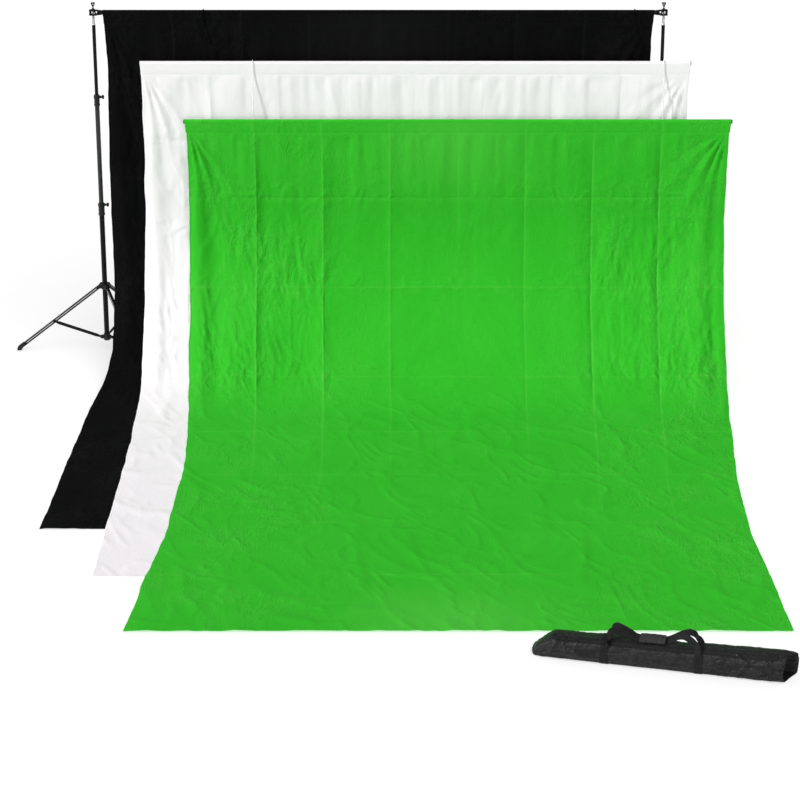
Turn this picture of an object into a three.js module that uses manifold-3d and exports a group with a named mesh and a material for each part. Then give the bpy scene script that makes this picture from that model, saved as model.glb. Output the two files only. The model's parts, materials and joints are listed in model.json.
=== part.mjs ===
// Background support system: two telescoping tripod stands, a sectional crossbar with end
// brackets, three muslin backdrops hung on poles one below the other, and the carry bag.
// Units are millimetres, +Z up. The origin is on the floor under the middle of the bounding box.
import * as THREE from "three";
import { mergeVertices } from "three/addons/utils/BufferGeometryUtils.js";
import Module from "manifold-3d";

const wasm = await Module();
wasm.setup();

// ---------------------------------------------------------------- driving dimensions
const OX = 62, OY = 1718.917;        // where the middle of the crossbar stands, seen from the origin
const BAR_Z = 1938;                  // height of the crossbar's axis
const STAND_X = 1520;                // each stand's axis from the middle
const GAP = 0.35;                    // running clearance between neighbours
const SEG = 20, FEW = 16;            // facets round a tube, and round a small casting

const TUBE_LOW = 14, TUBE_MID = 12.5, TUBE_TOP = 9.5;      // outer radii of the column tubes
const WALL = 1.15;                                          // tube wall
const LEG_AZ = [180, 60, -60];       // directions of a stand's legs, degrees
const HUB_PIVOT = [30, 380];         // leg pivot: distance from the column, height
const BASE_PIVOT = [30, 84];         // brace pivot on the base hub
const FOOT_AT = [490, 14];           // lower end of a leg's axis
const BRACE_T = 0.56;                // where along the leg the brace meets it
const CROSS_R = 12.5, CROSS_END = 1477;                     // crossbar tube, half length
const POLE_R = 11;                                          // lower poles
const SHEET_HALF = 1476, SHEET_T = 2, SWEEP_R = 882;        // half width on the pole, stand-in thickness, sweep radius
// name, pole axis x offset, y, z, pole radius, front edge y, floor level, top half width, floor half width
const SHEETS = [
  ["black_muslin", 0, 0, BAR_Z, CROSS_R, -2400, 0],
  ["white_muslin", 196, -50, BAR_Z - 266, POLE_R, -2850, 2.5],
  ["green_muslin", 426, -95, BAR_Z - 577, POLE_R, -3380, 5],
];
const BAG_FROM = [717, -3565], BAG_TO = [1843, -3827];      // the bag's centre line on the floor

// ---------------------------------------------------------------- helpers
const rad = THREE.MathUtils.degToRad;
const M = () => new THREE.Matrix4();

function solid(geometry, matrix) {
  let g = geometry.index ? geometry.toNonIndexed() : geometry.clone();
  for (const key of Object.keys(g.attributes)) if (key !== "position") g.deleteAttribute(key);
  if (matrix) g.applyMatrix4(matrix);
  g = mergeVertices(g, 1e-3);
  const pos = g.attributes.position.array;
  const tri = [];
  let vol = 0;
  const idx = g.index.array;
  for (let i = 0; i < idx.length; i += 3) {
    const [a, b, c] = [idx[i], idx[i + 1], idx[i + 2]];
    if (a === b || b === c || a === c) continue;
    tri.push(a, b, c);
    const A = pos.slice(3 * a, 3 * a + 3), B = pos.slice(3 * b, 3 * b + 3), C = pos.slice(3 * c, 3 * c + 3);
    vol += (A[0] * (B[1] * C[2] - B[2] * C[1]) - A[1] * (B[0] * C[2] - B[2] * C[0]) + A[2] * (B[0] * C[1] - B[1] * C[0])) / 6;
  }
  if (vol < 0) for (let i = 0; i < tri.length; i += 3) [tri[i + 1], tri[i + 2]] = [tri[i + 2], tri[i + 1]];
  return new wasm.Manifold(new wasm.Mesh({ numProp: 3, vertProperties: new Float32Array(pos), triVerts: new Uint32Array(tri) }));
}

const turn = new THREE.Matrix4().makeRotationX(Math.PI / 2);   // lathe axis to +Z
function lathe(points, n = SEG, matrix) {
  // points are [radius, height] pairs along +Z; matrix places the result
  const g = new THREE.LatheGeometry(points.map(p => new THREE.Vector2(p[0], p[1])), n);
  g.applyMatrix4(turn);
  return solid(g, matrix);
}
const ring = (ro, ri, z0, z1, n = SEG, matrix) => lathe([[ri, z0], [ro, z0], [ro, z1], [ri, z1], [ri, z0]], n, matrix);
const disc = (r, z0, z1, n = SEG, matrix) => lathe([[0, z0], [r, z0], [r, z1], [0, z1]], n, matrix);
const alongX = M().makeRotationY(Math.PI / 2);                 // +Z to +X
const box = (x0, x1, y0, y1, z0, z1, matrix) => solid(new THREE.BoxGeometry(x1 - x0, y1 - y0, z1 - z0), 
  (matrix ? matrix.clone() : M()).multiply(M().makeTranslation((x0 + x1) / 2, (y0 + y1) / 2, (z0 + z1) / 2)));
// a flat outline in the X-Z plane, thickened along Y from y0 to y1
function slab(outline, y0, y1, holes = [], matrix) {
  const s = new THREE.Shape(outline.map(p => new THREE.Vector2(p[0], p[1])));
  for (const h of holes) s.holes.push(new THREE.Path(h.map(p => new THREE.Vector2(p[0], p[1]))));
  const g = new THREE.ExtrudeGeometry(s, { depth: y1 - y0, bevelEnabled: false, curveSegments: 8 });
  // shape x -> x, shape y -> z, depth -> -y
  g.applyMatrix4(new THREE.Matrix4().makeRotationX(Math.PI / 2));
  g.applyMatrix4(M().makeTranslation(0, y1, 0));
  return solid(g, matrix);
}
const arc = (cx, cz, r, a0, a1, n) => Array.from({ length: n + 1 }, (_, i) => {
  const a = rad(a0 + (a1 - a0) * i / n);
  return [cx + r * Math.cos(a), cz + r * Math.sin(a)];
});
function rod(points, r, n = 6, steps = 40) {
  const curve = new THREE.CatmullRomCurve3(points.map(p => new THREE.Vector3(...p)), false, "centripetal");
  const s = new THREE.Shape(Array.from({ length: n }, (_, i) => new THREE.Vector2(r * Math.cos(2 * Math.PI * i / n), r * Math.sin(2 * Math.PI * i / n))));
  return solid(new THREE.ExtrudeGeometry(s, { steps, extrudePath: curve, bevelEnabled: false }));
}
const at = (x, y, z, az = 0) => M().makeTranslation(x, y, z).multiply(M().makeRotationZ(rad(az)));

const group = new THREE.Group();
group.position.set(OX, OY, 0);
function add(name, body, color, roughness, metalness) {
  const m = body.getMesh();
  const g = new THREE.BufferGeometry();
  g.setAttribute("position", new THREE.BufferAttribute(new Float32Array(m.vertProperties), 3));
  g.setIndex(new THREE.BufferAttribute(new Uint32Array(m.triVerts), 1));
  g.computeVertexNormals();
  const mesh = new THREE.Mesh(g, new THREE.MeshStandardMaterial({ color, roughness, metalness }));
  mesh.name = name;
  group.add(mesh);
}
const union = (...parts) => parts.reduce((a, b) => a.add(b));

const BLACK = 0x141416, STEEL = 0xa9acb0, SILVER = 0xc8cacc, PLASTIC = 0x0d0d0e;

// ---------------------------------------------------------------- one lock knob, on an axis along +X from the column
// tip: where the threaded stud ends; seat: where the head starts
function knob(tip, seat, matrix) {
  const stud = disc(4, tip, seat + 2, 10, alongX);
  const neck = disc(5.6, seat, seat + 4.2, 12, alongX);
  const lobes = Array.from({ length: 18 }, (_, i) => {
    const a = 2 * Math.PI * i / 18, r = i % 3 === 0 ? 8.4 : 11;
    return [r * Math.cos(a), r * Math.sin(a)];
  });
  // the head is a lobed disc standing across the X axis
  const head = slab(lobes, 0, 13, [], M().makeTranslation(seat + 17, 0, 0).multiply(M().makeRotationZ(Math.PI / 2)));
  let k = union(stud, neck, head);
  return matrix ? k.transform([...matrix.elements]) : k;
}

// ---------------------------------------------------------------- a stand
function stand(side, x0) {
  const P = at(x0, 0, 0);
  const put = (s, m = P) => s.transform([...m.elements]);
  const name = part => `${part}_${side}`;

  // column
  add(name("lower_tube"), ring(TUBE_LOW, TUBE_LOW - WALL, 67, 841.5, SEG, P), BLACK, 0.35, 0.6);
  add(name("mid_tube"), ring(TUBE_MID, TUBE_MID - WALL, 570, 1450, SEG, P), STEEL, 0.3, 0.8);
  add(name("top_tube"), ring(TUBE_TOP, TUBE_TOP - WALL, 1186, 1870, SEG, P), BLACK, 0.35, 0.6);
  add(name("spigot"), lathe([[0, 1844], [TUBE_TOP - WALL - GAP, 1844], [TUBE_TOP - WALL - GAP, 1870.4], [9.2, 1870.4], [9.2, 1875], [8, 1877],
    [8, 1886], [6.2, 1888], [6.2, 1895], [8, 1897], [8, 1910], [7, 1912], [6.4, 1921.6], [4.8, 1921.6], [4.8, 1933], [0, 1933]], 14, P), SILVER, 0.25, 1);

  // collar between the middle and the top tube
  const kz1 = 1470;
  let c1 = union(
    lathe([[TUBE_MID + GAP, 1421], [15.2, 1421], [16.4, 1424], [16.4, 1430], [15, 1434], [15, 1478], [13.5, 1483], [TUBE_TOP + GAP, 1483],
      [TUBE_TOP + GAP, 1450.5], [TUBE_MID + GAP, 1450.5], [TUBE_MID + GAP, 1421]], FEW),
    disc(8, 11.5, 22, 12, M().makeTranslation(0, 0, kz1).multiply(alongX)));
  c1 = c1.subtract(disc(4 + GAP, 5, 30, 10, M().makeTranslation(0, 0, kz1).multiply(alongX)));
  add(name("upper_collar"), put(c1), PLASTIC, 0.5, 0);
  add(name("upper_knob"), knob(TUBE_TOP + 0.4, 22.4, at(x0, 0, kz1)), PLASTIC, 0.5, 0);

  // collar between the lower and the middle tube
  const kz2 = 857;
  let c2 = union(
    lathe([[TUBE_LOW + GAP, 797], [17.4, 797], [18.4, 800], [18.4, 807], [17, 811], [17, 863], [15.5, 868], [TUBE_MID + GAP, 868],
      [TUBE_MID + GAP, 842], [TUBE_LOW + GAP, 842], [TUBE_LOW + GAP, 797]], FEW),
    disc(8, 14, 24, 12, M().makeTranslation(0, 0, kz2).multiply(alongX)));
  c2 = c2.subtract(disc(4 + GAP, 5, 30, 10, M().makeTranslation(0, 0, kz2).multiply(alongX)));
  add(name("lower_collar"), put(c2), PLASTIC, 0.5, 0);
  add(name("lower_knob"), knob(TUBE_MID + 0.4, 24.4, at(x0, 0, kz2)), PLASTIC, 0.5, 0);

  // sliding leg hub with three lug pairs and their rivets, and its lock knob
  const [hx, hz] = HUB_PIVOT;
  let hub = ring(18, TUBE_LOW + GAP, 363, 399, FEW);
  const lug = (px, pz, z0, z1, y0, y1) => slab([[15.2, z0], [px, z0], ...arc(px, pz, 8, -70, 70, 4), [px, z1], [15.2, z1]], y0, y1);
  for (const az of LEG_AZ) {
    const R = M().makeRotationZ(rad(az));
    const pair = union(lug(hx, hz, 370, 392, 8.4, 12.2), lug(hx, hz, 370, 392, -12.2, -8.4),
      disc(2.5, -12.2, 12.2, 8, M().makeTranslation(hx, 0, hz).multiply(turn)));
    hub = hub.add(pair.transform([...R.elements]));
  }
  const hubBoss = M().makeRotationZ(rad(120)).multiply(M().makeTranslation(0, 0, 381));
  hub = hub.add(disc(8, 15.2, 26, 12, hubBoss.clone().multiply(alongX)));
  hub = hub.subtract(disc(4 + GAP, 8, 32, 10, hubBoss.clone().multiply(alongX)));
  hub = hub.subtract(disc(TUBE_LOW + GAP, 350, 410, FEW));
  add(name("leg_hub"), put(hub), PLASTIC, 0.5, 0);
  add(name("hub_knob"), knob(TUBE_LOW + 0.4, 26.4, P.clone().multiply(hubBoss)), PLASTIC, 0.5, 0);

  // base hub fixed on the column's foot, with three forks for the braces
  const [bx, bz] = BASE_PIVOT;
  let base = lathe([[0, 62], [17, 62], [18.4, 64], [18.4, 98], [17, 100], [TUBE_LOW + GAP, 100], [TUBE_LOW + GAP, 66.6], [0, 66.6]], FEW);
  for (const az of LEG_AZ) {
    const R = M().makeRotationZ(rad(az));
    const fork = union(lug(bx, bz, 74, 94, 4.6, 8.1), lug(bx, bz, 74, 94, 12.1, 15.6),
      disc(2.5, 4.6, 15.6, 8, M().makeTranslation(bx, 0, bz).multiply(M().makeRotationX(-Math.PI / 2))));
    base = base.add(fork.transform([...R.elements]));
  }
  base = base.subtract(disc(TUBE_LOW + GAP, 66.6, 120, FEW));
  add(name("base_hub"), put(base), PLASTIC, 0.5, 0);

  // legs, braces and feet
  const [fx, fz] = FOOT_AT;
  const L = Math.hypot(fx - hx, hz - fz);
  const slope = Math.atan2(hz - fz, fx - hx);
  const bpx = hx + (fx - hx) * BRACE_T, bpz = hz + (fz - hz) * BRACE_T;
  const BL = Math.hypot(bpx - bx, bpz - bz), rise = Math.atan2(bpz - bz, bpx - bx);
  LEG_AZ.forEach((az, i) => {
    const R = at(x0, 0, 0, az);
    const legFrame = M().makeTranslation(hx, 0, hz).multiply(M().makeRotationY(slope));
    // an inverted U channel, 16 wide and 14 deep
    let leg = box(-7, L - 10, -8, 8, -7, 7).subtract(box(-8, L, -6.5, 6.5, -8, 5.4));
    leg = leg.subtract(disc(2.5 + GAP, -9, 9, 8, M().makeRotationX(-Math.PI / 2)));
    leg = leg.add(disc(4.5, 7.5, 9.8, 10, M().makeTranslation(L * BRACE_T, 0, 0).multiply(M().makeRotationX(Math.PI / 2))));
    add(name(`leg_${i + 1}`), leg.transform([...R.clone().multiply(legFrame).elements]), BLACK, 0.4, 0.6);

    // the brace: a flat bar beside the channel
    const braceFrame = M().makeTranslation(bx, 0, bz).multiply(M().makeRotationY(-rise));
    let bar = slab([...arc(0, 0, 6, 90, 270, 6), ...arc(BL, 0, 6, -90, 90, 6)], 8.6, 11.6, [arc(0, 0, 2.5 + GAP, 0, 315, 7)]);
    bar = bar.add(disc(4.5, 11, 13.6, 10, M().makeTranslation(BL, 0, 0).multiply(M().makeRotationX(-Math.PI / 2))));
    add(name(`brace_${i + 1}`), bar.transform([...R.clone().multiply(braceFrame).elements]), BLACK, 0.4, 0.6);

    // the moulded foot, with the leg's end in its socket
    let foot = slab([[454, 30], [466.5, 45.5], [498, 21], [506, 12], [506, 2], [504, 0], [478, 0], [474, 3], [472, 13]], -11, 11);
    foot = foot.subtract(box(L - 60, L - 9.5, -8.35, 8.35, -7.35, 7.35, legFrame));
    add(name(`foot_${i + 1}`), foot.transform([...R.elements]), PLASTIC, 0.7, 0);
  });
}
stand("left", -STAND_X);
stand("right", STAND_X);

// ---------------------------------------------------------------- crossbar: four sections, each but the last with a reduced end in the next
const N_SEC = 4;
for (let i = 0; i < N_SEC; i++) {
  const a = -CROSS_END + (2 * CROSS_END) * i / N_SEC, b = -CROSS_END + (2 * CROSS_END) * (i + 1) / N_SEC - GAP;
  const ri = CROSS_R - WALL, F = M().makeTranslation(0, 0, BAR_Z).multiply(alongX);
  const profile = i < N_SEC - 1
    ? [[ri, a], [CROSS_R, a], [CROSS_R, b], [11, b], [11, b + 40], [9.8, b + 40], [9.8, b - 15], [ri, b - 15], [ri, a]]
    : [[ri, a], [CROSS_R, a], [CROSS_R, b + GAP], [ri, b + GAP], [ri, a]];
  add(`crossbar_${i + 1}`, lathe(profile, SEG, F), BLACK, 0.35, 0.6);
}

// end brackets: an eye over the spigot, two ribs with windows between them, and a stub in the crossbar
for (const [side, sx] of [["left", 1], ["right", -1]]) {
  const w1 = [[-9, -5], [-6, -8.5], [8, -8.5], [10, -5], [3, 8], [-7, 8], [-9, 5]];
  const w2 = [[14.5, -4.5], [18, -7], [22.5, 6], [20, 7.5], [11, 7.5]];
  const w3 = [[24, -7], [34, -6.5], [36, -3], [35, 3.5], [31, 5], [28, 5.5]];
  let b = slab([[-22, -11], [-18, -16], [16, -16], [22, -13.5], [41, -12], [42.6, -10], [42.6, 10], [38, 11.5], [12, 14.5], [7, 16], [-18, 16], [-22, 11], [-20, 3], [-20, -3]], -9, 9, [w1, w2, w3]);
  b = b.add(disc(11, 41, 78, SEG, alongX));
  b = b.subtract(disc(5.2, -20, 0, 12)).subtract(disc(4.5, 0, 20, 12));
  if (sx < 0) b = b.transform([...M().makeScale(-1, 1, 1).elements]);
  add(`bracket_${side}`, b.transform([...at(-STAND_X * sx, 0, BAR_Z).elements]), PLASTIC, 0.45, 0.1);

  // screw with a winged knob, down through the eye into the spigot
  const x0 = -STAND_X * sx;
  let t = lathe([[0, 1933.5], [3.9, 1933.5], [3.9, 1954.4], [8, 1954.4], [8, 1956.5], [4.4, 1963], [3, 1963.5], [3, 1969], [0, 1969]], 12);
  t = t.add(slab([[-3.5, 1968], [3.5, 1968], [5.5, 1975], [10.5, 1985], [9.5, 1992], [5, 1994.5], [0, 1990], [-5, 1994.5], [-9.5, 1992], [-10.5, 1985], [-5.5, 1975]], -3.6, 3.6));
  add(`bracket_screw_${side}`, t.transform([...at(x0, 0, 0).elements]), PLASTIC, 0.45, 0.1);
}

// ---------------------------------------------------------------- lower poles and the drop hooks that carry them
const HOOK_AT = { white: [-934, 1366], green: [-674, 1526] };
const poles = { white: SHEETS[1], green: SHEETS[2] };
for (const [key, s] of Object.entries(poles)) {
  const [, dx, y, z] = s;
  let p = ring(POLE_R, POLE_R - WALL, dx - SHEET_HALF, dx + SHEET_HALF, SEG, M().makeTranslation(0, y, z).multiply(alongX));
  for (const hxx of HOOK_AT[key]) p = p.subtract(disc(2.2 + GAP, 0, 20, 8, M().makeTranslation(hxx, y, z)));
  add(`${key}_pole`, p, STEEL, 0.35, 0.8);
}
function dropHook(name, x, y0, z0, r0, y1, z1, color) {
  // over the upper pole (axis y0, z0, clear radius r0) and down into the lower pole (axis y1, z1)
  const R = r0 + 1.3 + 2.2;
  const pts = [];
  for (let a = -30; a <= 180; a += 30) pts.push([x, y0 + R * Math.cos(rad(a)), z0 + R * Math.sin(rad(a))]);
  pts.push([x, y0 - R, z0 - 30], [x, y0 - R - 2, z0 - 60], [x, y1 + 2, z1 + 70], [x, y1, z1 + 45], [x, y1, z1 + 25], [x, y1, z1 + 5.5]);
  add(name, rod(pts, 2.2, 6, 40), color, 0.4, 0.7);
}
const POCKET = 2.5;
dropHook("drop_hook_1", HOOK_AT.white[0], 0, BAR_Z, CROSS_R + POCKET, SHEETS[1][2], SHEETS[1][3], BLACK);
dropHook("drop_hook_2", HOOK_AT.white[1], 0, BAR_Z, CROSS_R + POCKET, SHEETS[1][2], SHEETS[1][3], BLACK);
dropHook("drop_hook_3", HOOK_AT.green[0], SHEETS[1][2], SHEETS[1][3], POLE_R + POCKET, SHEETS[2][2], SHEETS[2][3], SILVER);
dropHook("drop_hook_4", HOOK_AT.green[1], SHEETS[1][2], SHEETS[1][3], POLE_R + POCKET, SHEETS[2][2], SHEETS[2][3], SILVER);

// ---------------------------------------------------------------- the muslins: pocket round the pole, hanging drop, sweep, floor run
const CLOTH = { black_muslin: 0x0b0b0c, white_muslin: 0xeeeeec, green_muslin: 0x2fbf2a };
for (const [name, dx, y0, z0, pr, front, zb] of SHEETS) {
  const Ro = pr + POCKET, Ri = pr + 0.5, t = SHEET_T;
  const yb = y0 - Ro + t;                       // back face of the hanging drop
  const cy = yb - SWEEP_R, cz = zb + SWEEP_R;   // centre of the sweep
  const zj = z0 - Math.sqrt(Ro * Ro - (Ro - t) * (Ro - t));
  const a0 = THREE.MathUtils.radToDeg(Math.atan2(zj - z0, Ro - t));   // join angle seen from the pole, measured from -y
  const outline = [];
  // pocket, from the front of the pole over the top and round to the join
  outline.push(...arc(y0, z0, Ro, 180, -180 - a0, 16));
  // back and lower face
  outline.push(...arc(cy, cz, SWEEP_R, 0, -90, 14), [front, zb]);
  // upper and front face
  outline.push([front, zb + t], ...arc(cy, cz, SWEEP_R - t, -90, 0, 14));
  const hole = arc(y0, z0, Ri, 0, 337.5, 15);
  // outline is in the Y-Z plane, extruded along X
  const s = new THREE.Shape(outline.map(p => new THREE.Vector2(p[0], p[1])));
  s.holes.push(new THREE.Path(hole.map(p => new THREE.Vector2(p[0], p[1]))));
  const g = new THREE.ExtrudeGeometry(s, { depth: 2 * SHEET_HALF, bevelEnabled: false });
  // (x, y, depth) -> (depth, x, y)
  g.applyMatrix4(new THREE.Matrix4().set(0, 0, 1, dx - SHEET_HALF, 1, 0, 0, 0, 0, 1, 0, 0, 0, 0, 0, 1));
  let sheet = solid(g);
  const eyelets = name === "white_muslin" ? HOOK_AT.white : name === "green_muslin" ? HOOK_AT.green : [];
  for (const hx of eyelets) sheet = sheet.subtract(disc(2.2 + 2 * GAP, 4, 40, 8, M().makeTranslation(hx, y0, z0)));
  add(name, sheet, CLOTH[name], 0.9, 0);
}

// ---------------------------------------------------------------- carry bag with its two-hump web handle and grip wrap
{
  const dx = BAG_TO[0] - BAG_FROM[0], dy = BAG_TO[1] - BAG_FROM[1], len = Math.hypot(dx, dy);
  const B = at(BAG_FROM[0], BAG_FROM[1], 0, THREE.MathUtils.radToDeg(Math.atan2(dy, dx)));
  // stations: distance along, half width, height
  const st = [[0, 30, 46], [50, 52, 78], [140, 62, 102], [360, 66, 108], [700, 66, 112], [980, 66, 120], [1100, 64, 124], [len, 56, 118]];
  const n = 12, v = [], f = [];
  const section = [[-0.72, 0], [0.72, 0], [0.95, 0.16], [1, 0.42], [0.9, 0.68], [0.68, 0.88], [0.3, 1], [-0.3, 1], [-0.68, 0.88], [-0.9, 0.68], [-1, 0.42], [-0.95, 0.16]];
  st.forEach(([s, w, h]) => section.forEach(([a, b]) => v.push(s, a * w, b * h)));
  for (let i = 0; i < st.length - 1; i++) for (let j = 0; j < n; j++) {
    const k = (j + 1) % n, a = i * n + j, b = i * n + k, c = (i + 1) * n + k, d = (i + 1) * n + j;
    f.push(a, b, c, a, c, d);
  }
  for (let j = 1; j < n - 1; j++) { f.push(0, j + 1, j); const o = (st.length - 1) * n; f.push(o, o + j, o + j + 1); }
  const g = new THREE.BufferGeometry();
  g.setAttribute("position", new THREE.BufferAttribute(new Float32Array(v), 3));
  g.setIndex(f);
  add("bag_body", solid(g, B), 0x1c1c1d, 0.9, 0);

  // web strap over the top: outline in the X-Z plane, 32 wide
  const top = s => 108 + (s - 360) * 4 / 340 + 0.8;     // just above the bag's crown between the bands
  const mid = [[372, 0], [380, 26], [400, 44], [425, 44], [450, 24], [470, 6], [490, 4], [555, 4], [580, 8], [604, 30], [630, 46], [660, 42], [684, 20], [692, 0]];
  const under = mid.map(([s, h]) => [s, top(s) + h]);
  const over = mid.map(([s, h], i) => {
    const a = under[Math.max(0, i - 1)], b = under[Math.min(mid.length - 1, i + 1)];
    const tx = b[0] - a[0], tz = b[1] - a[1], l = Math.hypot(tx, tz);
    return [under[i][0] - tz / l * 3, under[i][1] + tx / l * 3];
  }).reverse();
  add("bag_handles", slab([...under, ...over], -16, 16, [], B), 0x151516, 0.9, 0);
  const gz = top(522) + 4;
  let grip = box(492, 553, -20, 20, gz - 3.4, gz + 6.6).subtract(box(480, 560, -16.4, 16.4, gz - 0.6, gz + 3.7));
  add("bag_grip", grip.transform([...B.elements]), 0x242425, 0.9, 0);
}

export default group;
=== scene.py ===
import bpy, bmesh, json, math
import numpy as np
from mathutils import Matrix, Vector

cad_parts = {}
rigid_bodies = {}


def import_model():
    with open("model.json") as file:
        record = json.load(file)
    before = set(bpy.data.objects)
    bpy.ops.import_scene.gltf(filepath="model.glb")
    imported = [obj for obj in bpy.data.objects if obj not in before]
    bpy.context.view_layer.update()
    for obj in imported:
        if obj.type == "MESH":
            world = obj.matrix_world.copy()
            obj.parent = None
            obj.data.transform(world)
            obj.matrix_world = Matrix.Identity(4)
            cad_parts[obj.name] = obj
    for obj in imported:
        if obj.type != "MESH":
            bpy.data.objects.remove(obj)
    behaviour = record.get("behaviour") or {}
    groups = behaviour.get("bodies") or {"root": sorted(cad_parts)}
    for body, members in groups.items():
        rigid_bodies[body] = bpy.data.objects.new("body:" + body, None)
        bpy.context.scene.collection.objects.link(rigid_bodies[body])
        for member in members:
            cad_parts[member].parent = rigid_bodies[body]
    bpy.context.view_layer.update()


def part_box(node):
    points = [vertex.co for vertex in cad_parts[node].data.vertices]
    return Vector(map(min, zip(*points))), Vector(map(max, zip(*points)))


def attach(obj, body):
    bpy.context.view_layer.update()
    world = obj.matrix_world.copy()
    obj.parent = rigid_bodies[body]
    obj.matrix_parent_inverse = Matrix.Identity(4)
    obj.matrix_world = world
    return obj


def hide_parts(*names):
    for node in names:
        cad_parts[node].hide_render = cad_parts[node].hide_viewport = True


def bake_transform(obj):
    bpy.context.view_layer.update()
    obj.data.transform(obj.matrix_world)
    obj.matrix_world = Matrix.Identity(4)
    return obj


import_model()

# ------------------------------------------------------------------ the shared frame
# Lengths below are millimetres measured from the middle of the crossbar's foot line;
# WHERE moves them into the row frame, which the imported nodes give.
_l, _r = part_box("lower_tube_left"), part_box("lower_tube_right")
WHERE = np.array([(_l[0].x + _r[1].x) / 2, (_l[0].y + _l[1].y) / 2, 0.0]) * 1000
STAND_X = {"left": (_l[0].x + _l[1].x) * 500 - WHERE[0], "right": (_r[0].x + _r[1].x) * 500 - WHERE[0]}
_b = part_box("crossbar_1")
BAR_Z = (_b[0].z + _b[1].z) * 500
UP = BAR_Z - 1962.0          # how far the whole upper group stands from its design height


def M(*steps):
    m = np.eye(4)
    for s in steps:
        m = m @ s
    return m


def T(x=0, y=0, z=0):
    m = np.eye(4); m[:3, 3] = (x, y, z); return m


def R(axis, deg):
    c, s = math.cos(math.radians(deg)), math.sin(math.radians(deg))
    m = np.eye(4)
    i, j = {"x": (1, 2), "y": (2, 0), "z": (0, 1)}[axis]
    m[i, i] = c; m[i, j] = -s; m[j, i] = s; m[j, j] = c
    return m


# ------------------------------------------------------------------ camera, light, floor
scene = bpy.context.scene
cam = bpy.data.objects.new("camera", bpy.data.cameras.new("camera"))
scene.collection.objects.link(cam)
cam.data.lens, cam.data.sensor_width = 128.8, 36.0
cam.data.clip_start, cam.data.clip_end = 0.1, 200
cam.location = (0.115 + WHERE[0] / 1000, -14.845 + WHERE[1] / 1000, 5.996)
cam.rotation_euler = (math.radians(67), 0, 0)
scene.camera = cam
scene.view_settings.view_transform = "Standard"
scene.view_settings.look = "None"


def area(name, at, to, size, power, colour=(1, 1, 1)):
    d = bpy.data.lights.new(name, "AREA")
    d.shape = "RECTANGLE"; d.size, d.size_y = size; d.energy = power; d.color = colour
    o = bpy.data.objects.new(name, d)
    scene.collection.objects.link(o)
    o.location = at
    o.rotation_euler = (Vector(to) - Vector(at)).to_track_quat("-Z", "Y").to_euler()
    return o


def sun(name, toward, strength, softness):
    d = bpy.data.lights.new(name, "SUN")
    d.energy, d.angle = strength, math.radians(softness)
    o = bpy.data.objects.new(name, d)
    scene.collection.objects.link(o)
    o.location = tuple(-6 * c for c in toward)
    o.rotation_euler = Vector(toward).to_track_quat("-Z", "Y").to_euler()
    return o


# a wide key from the left and above rakes the cloth; it leaves the floor to the even fill
key_light = sun("key", (0.78, 0.38, -0.50), 2.75, 6)
fill_light = sun("fill", (-0.20, 0.50, -0.85), 0.80, 60)

world = bpy.data.worlds.new("studio")
scene.world = world
world.use_nodes = True
world.node_tree.nodes["Background"].inputs["Color"].default_value = (1.0, 1.0, 1.0, 1)
world.node_tree.nodes["Background"].inputs["Strength"].default_value = 0.33


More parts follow.
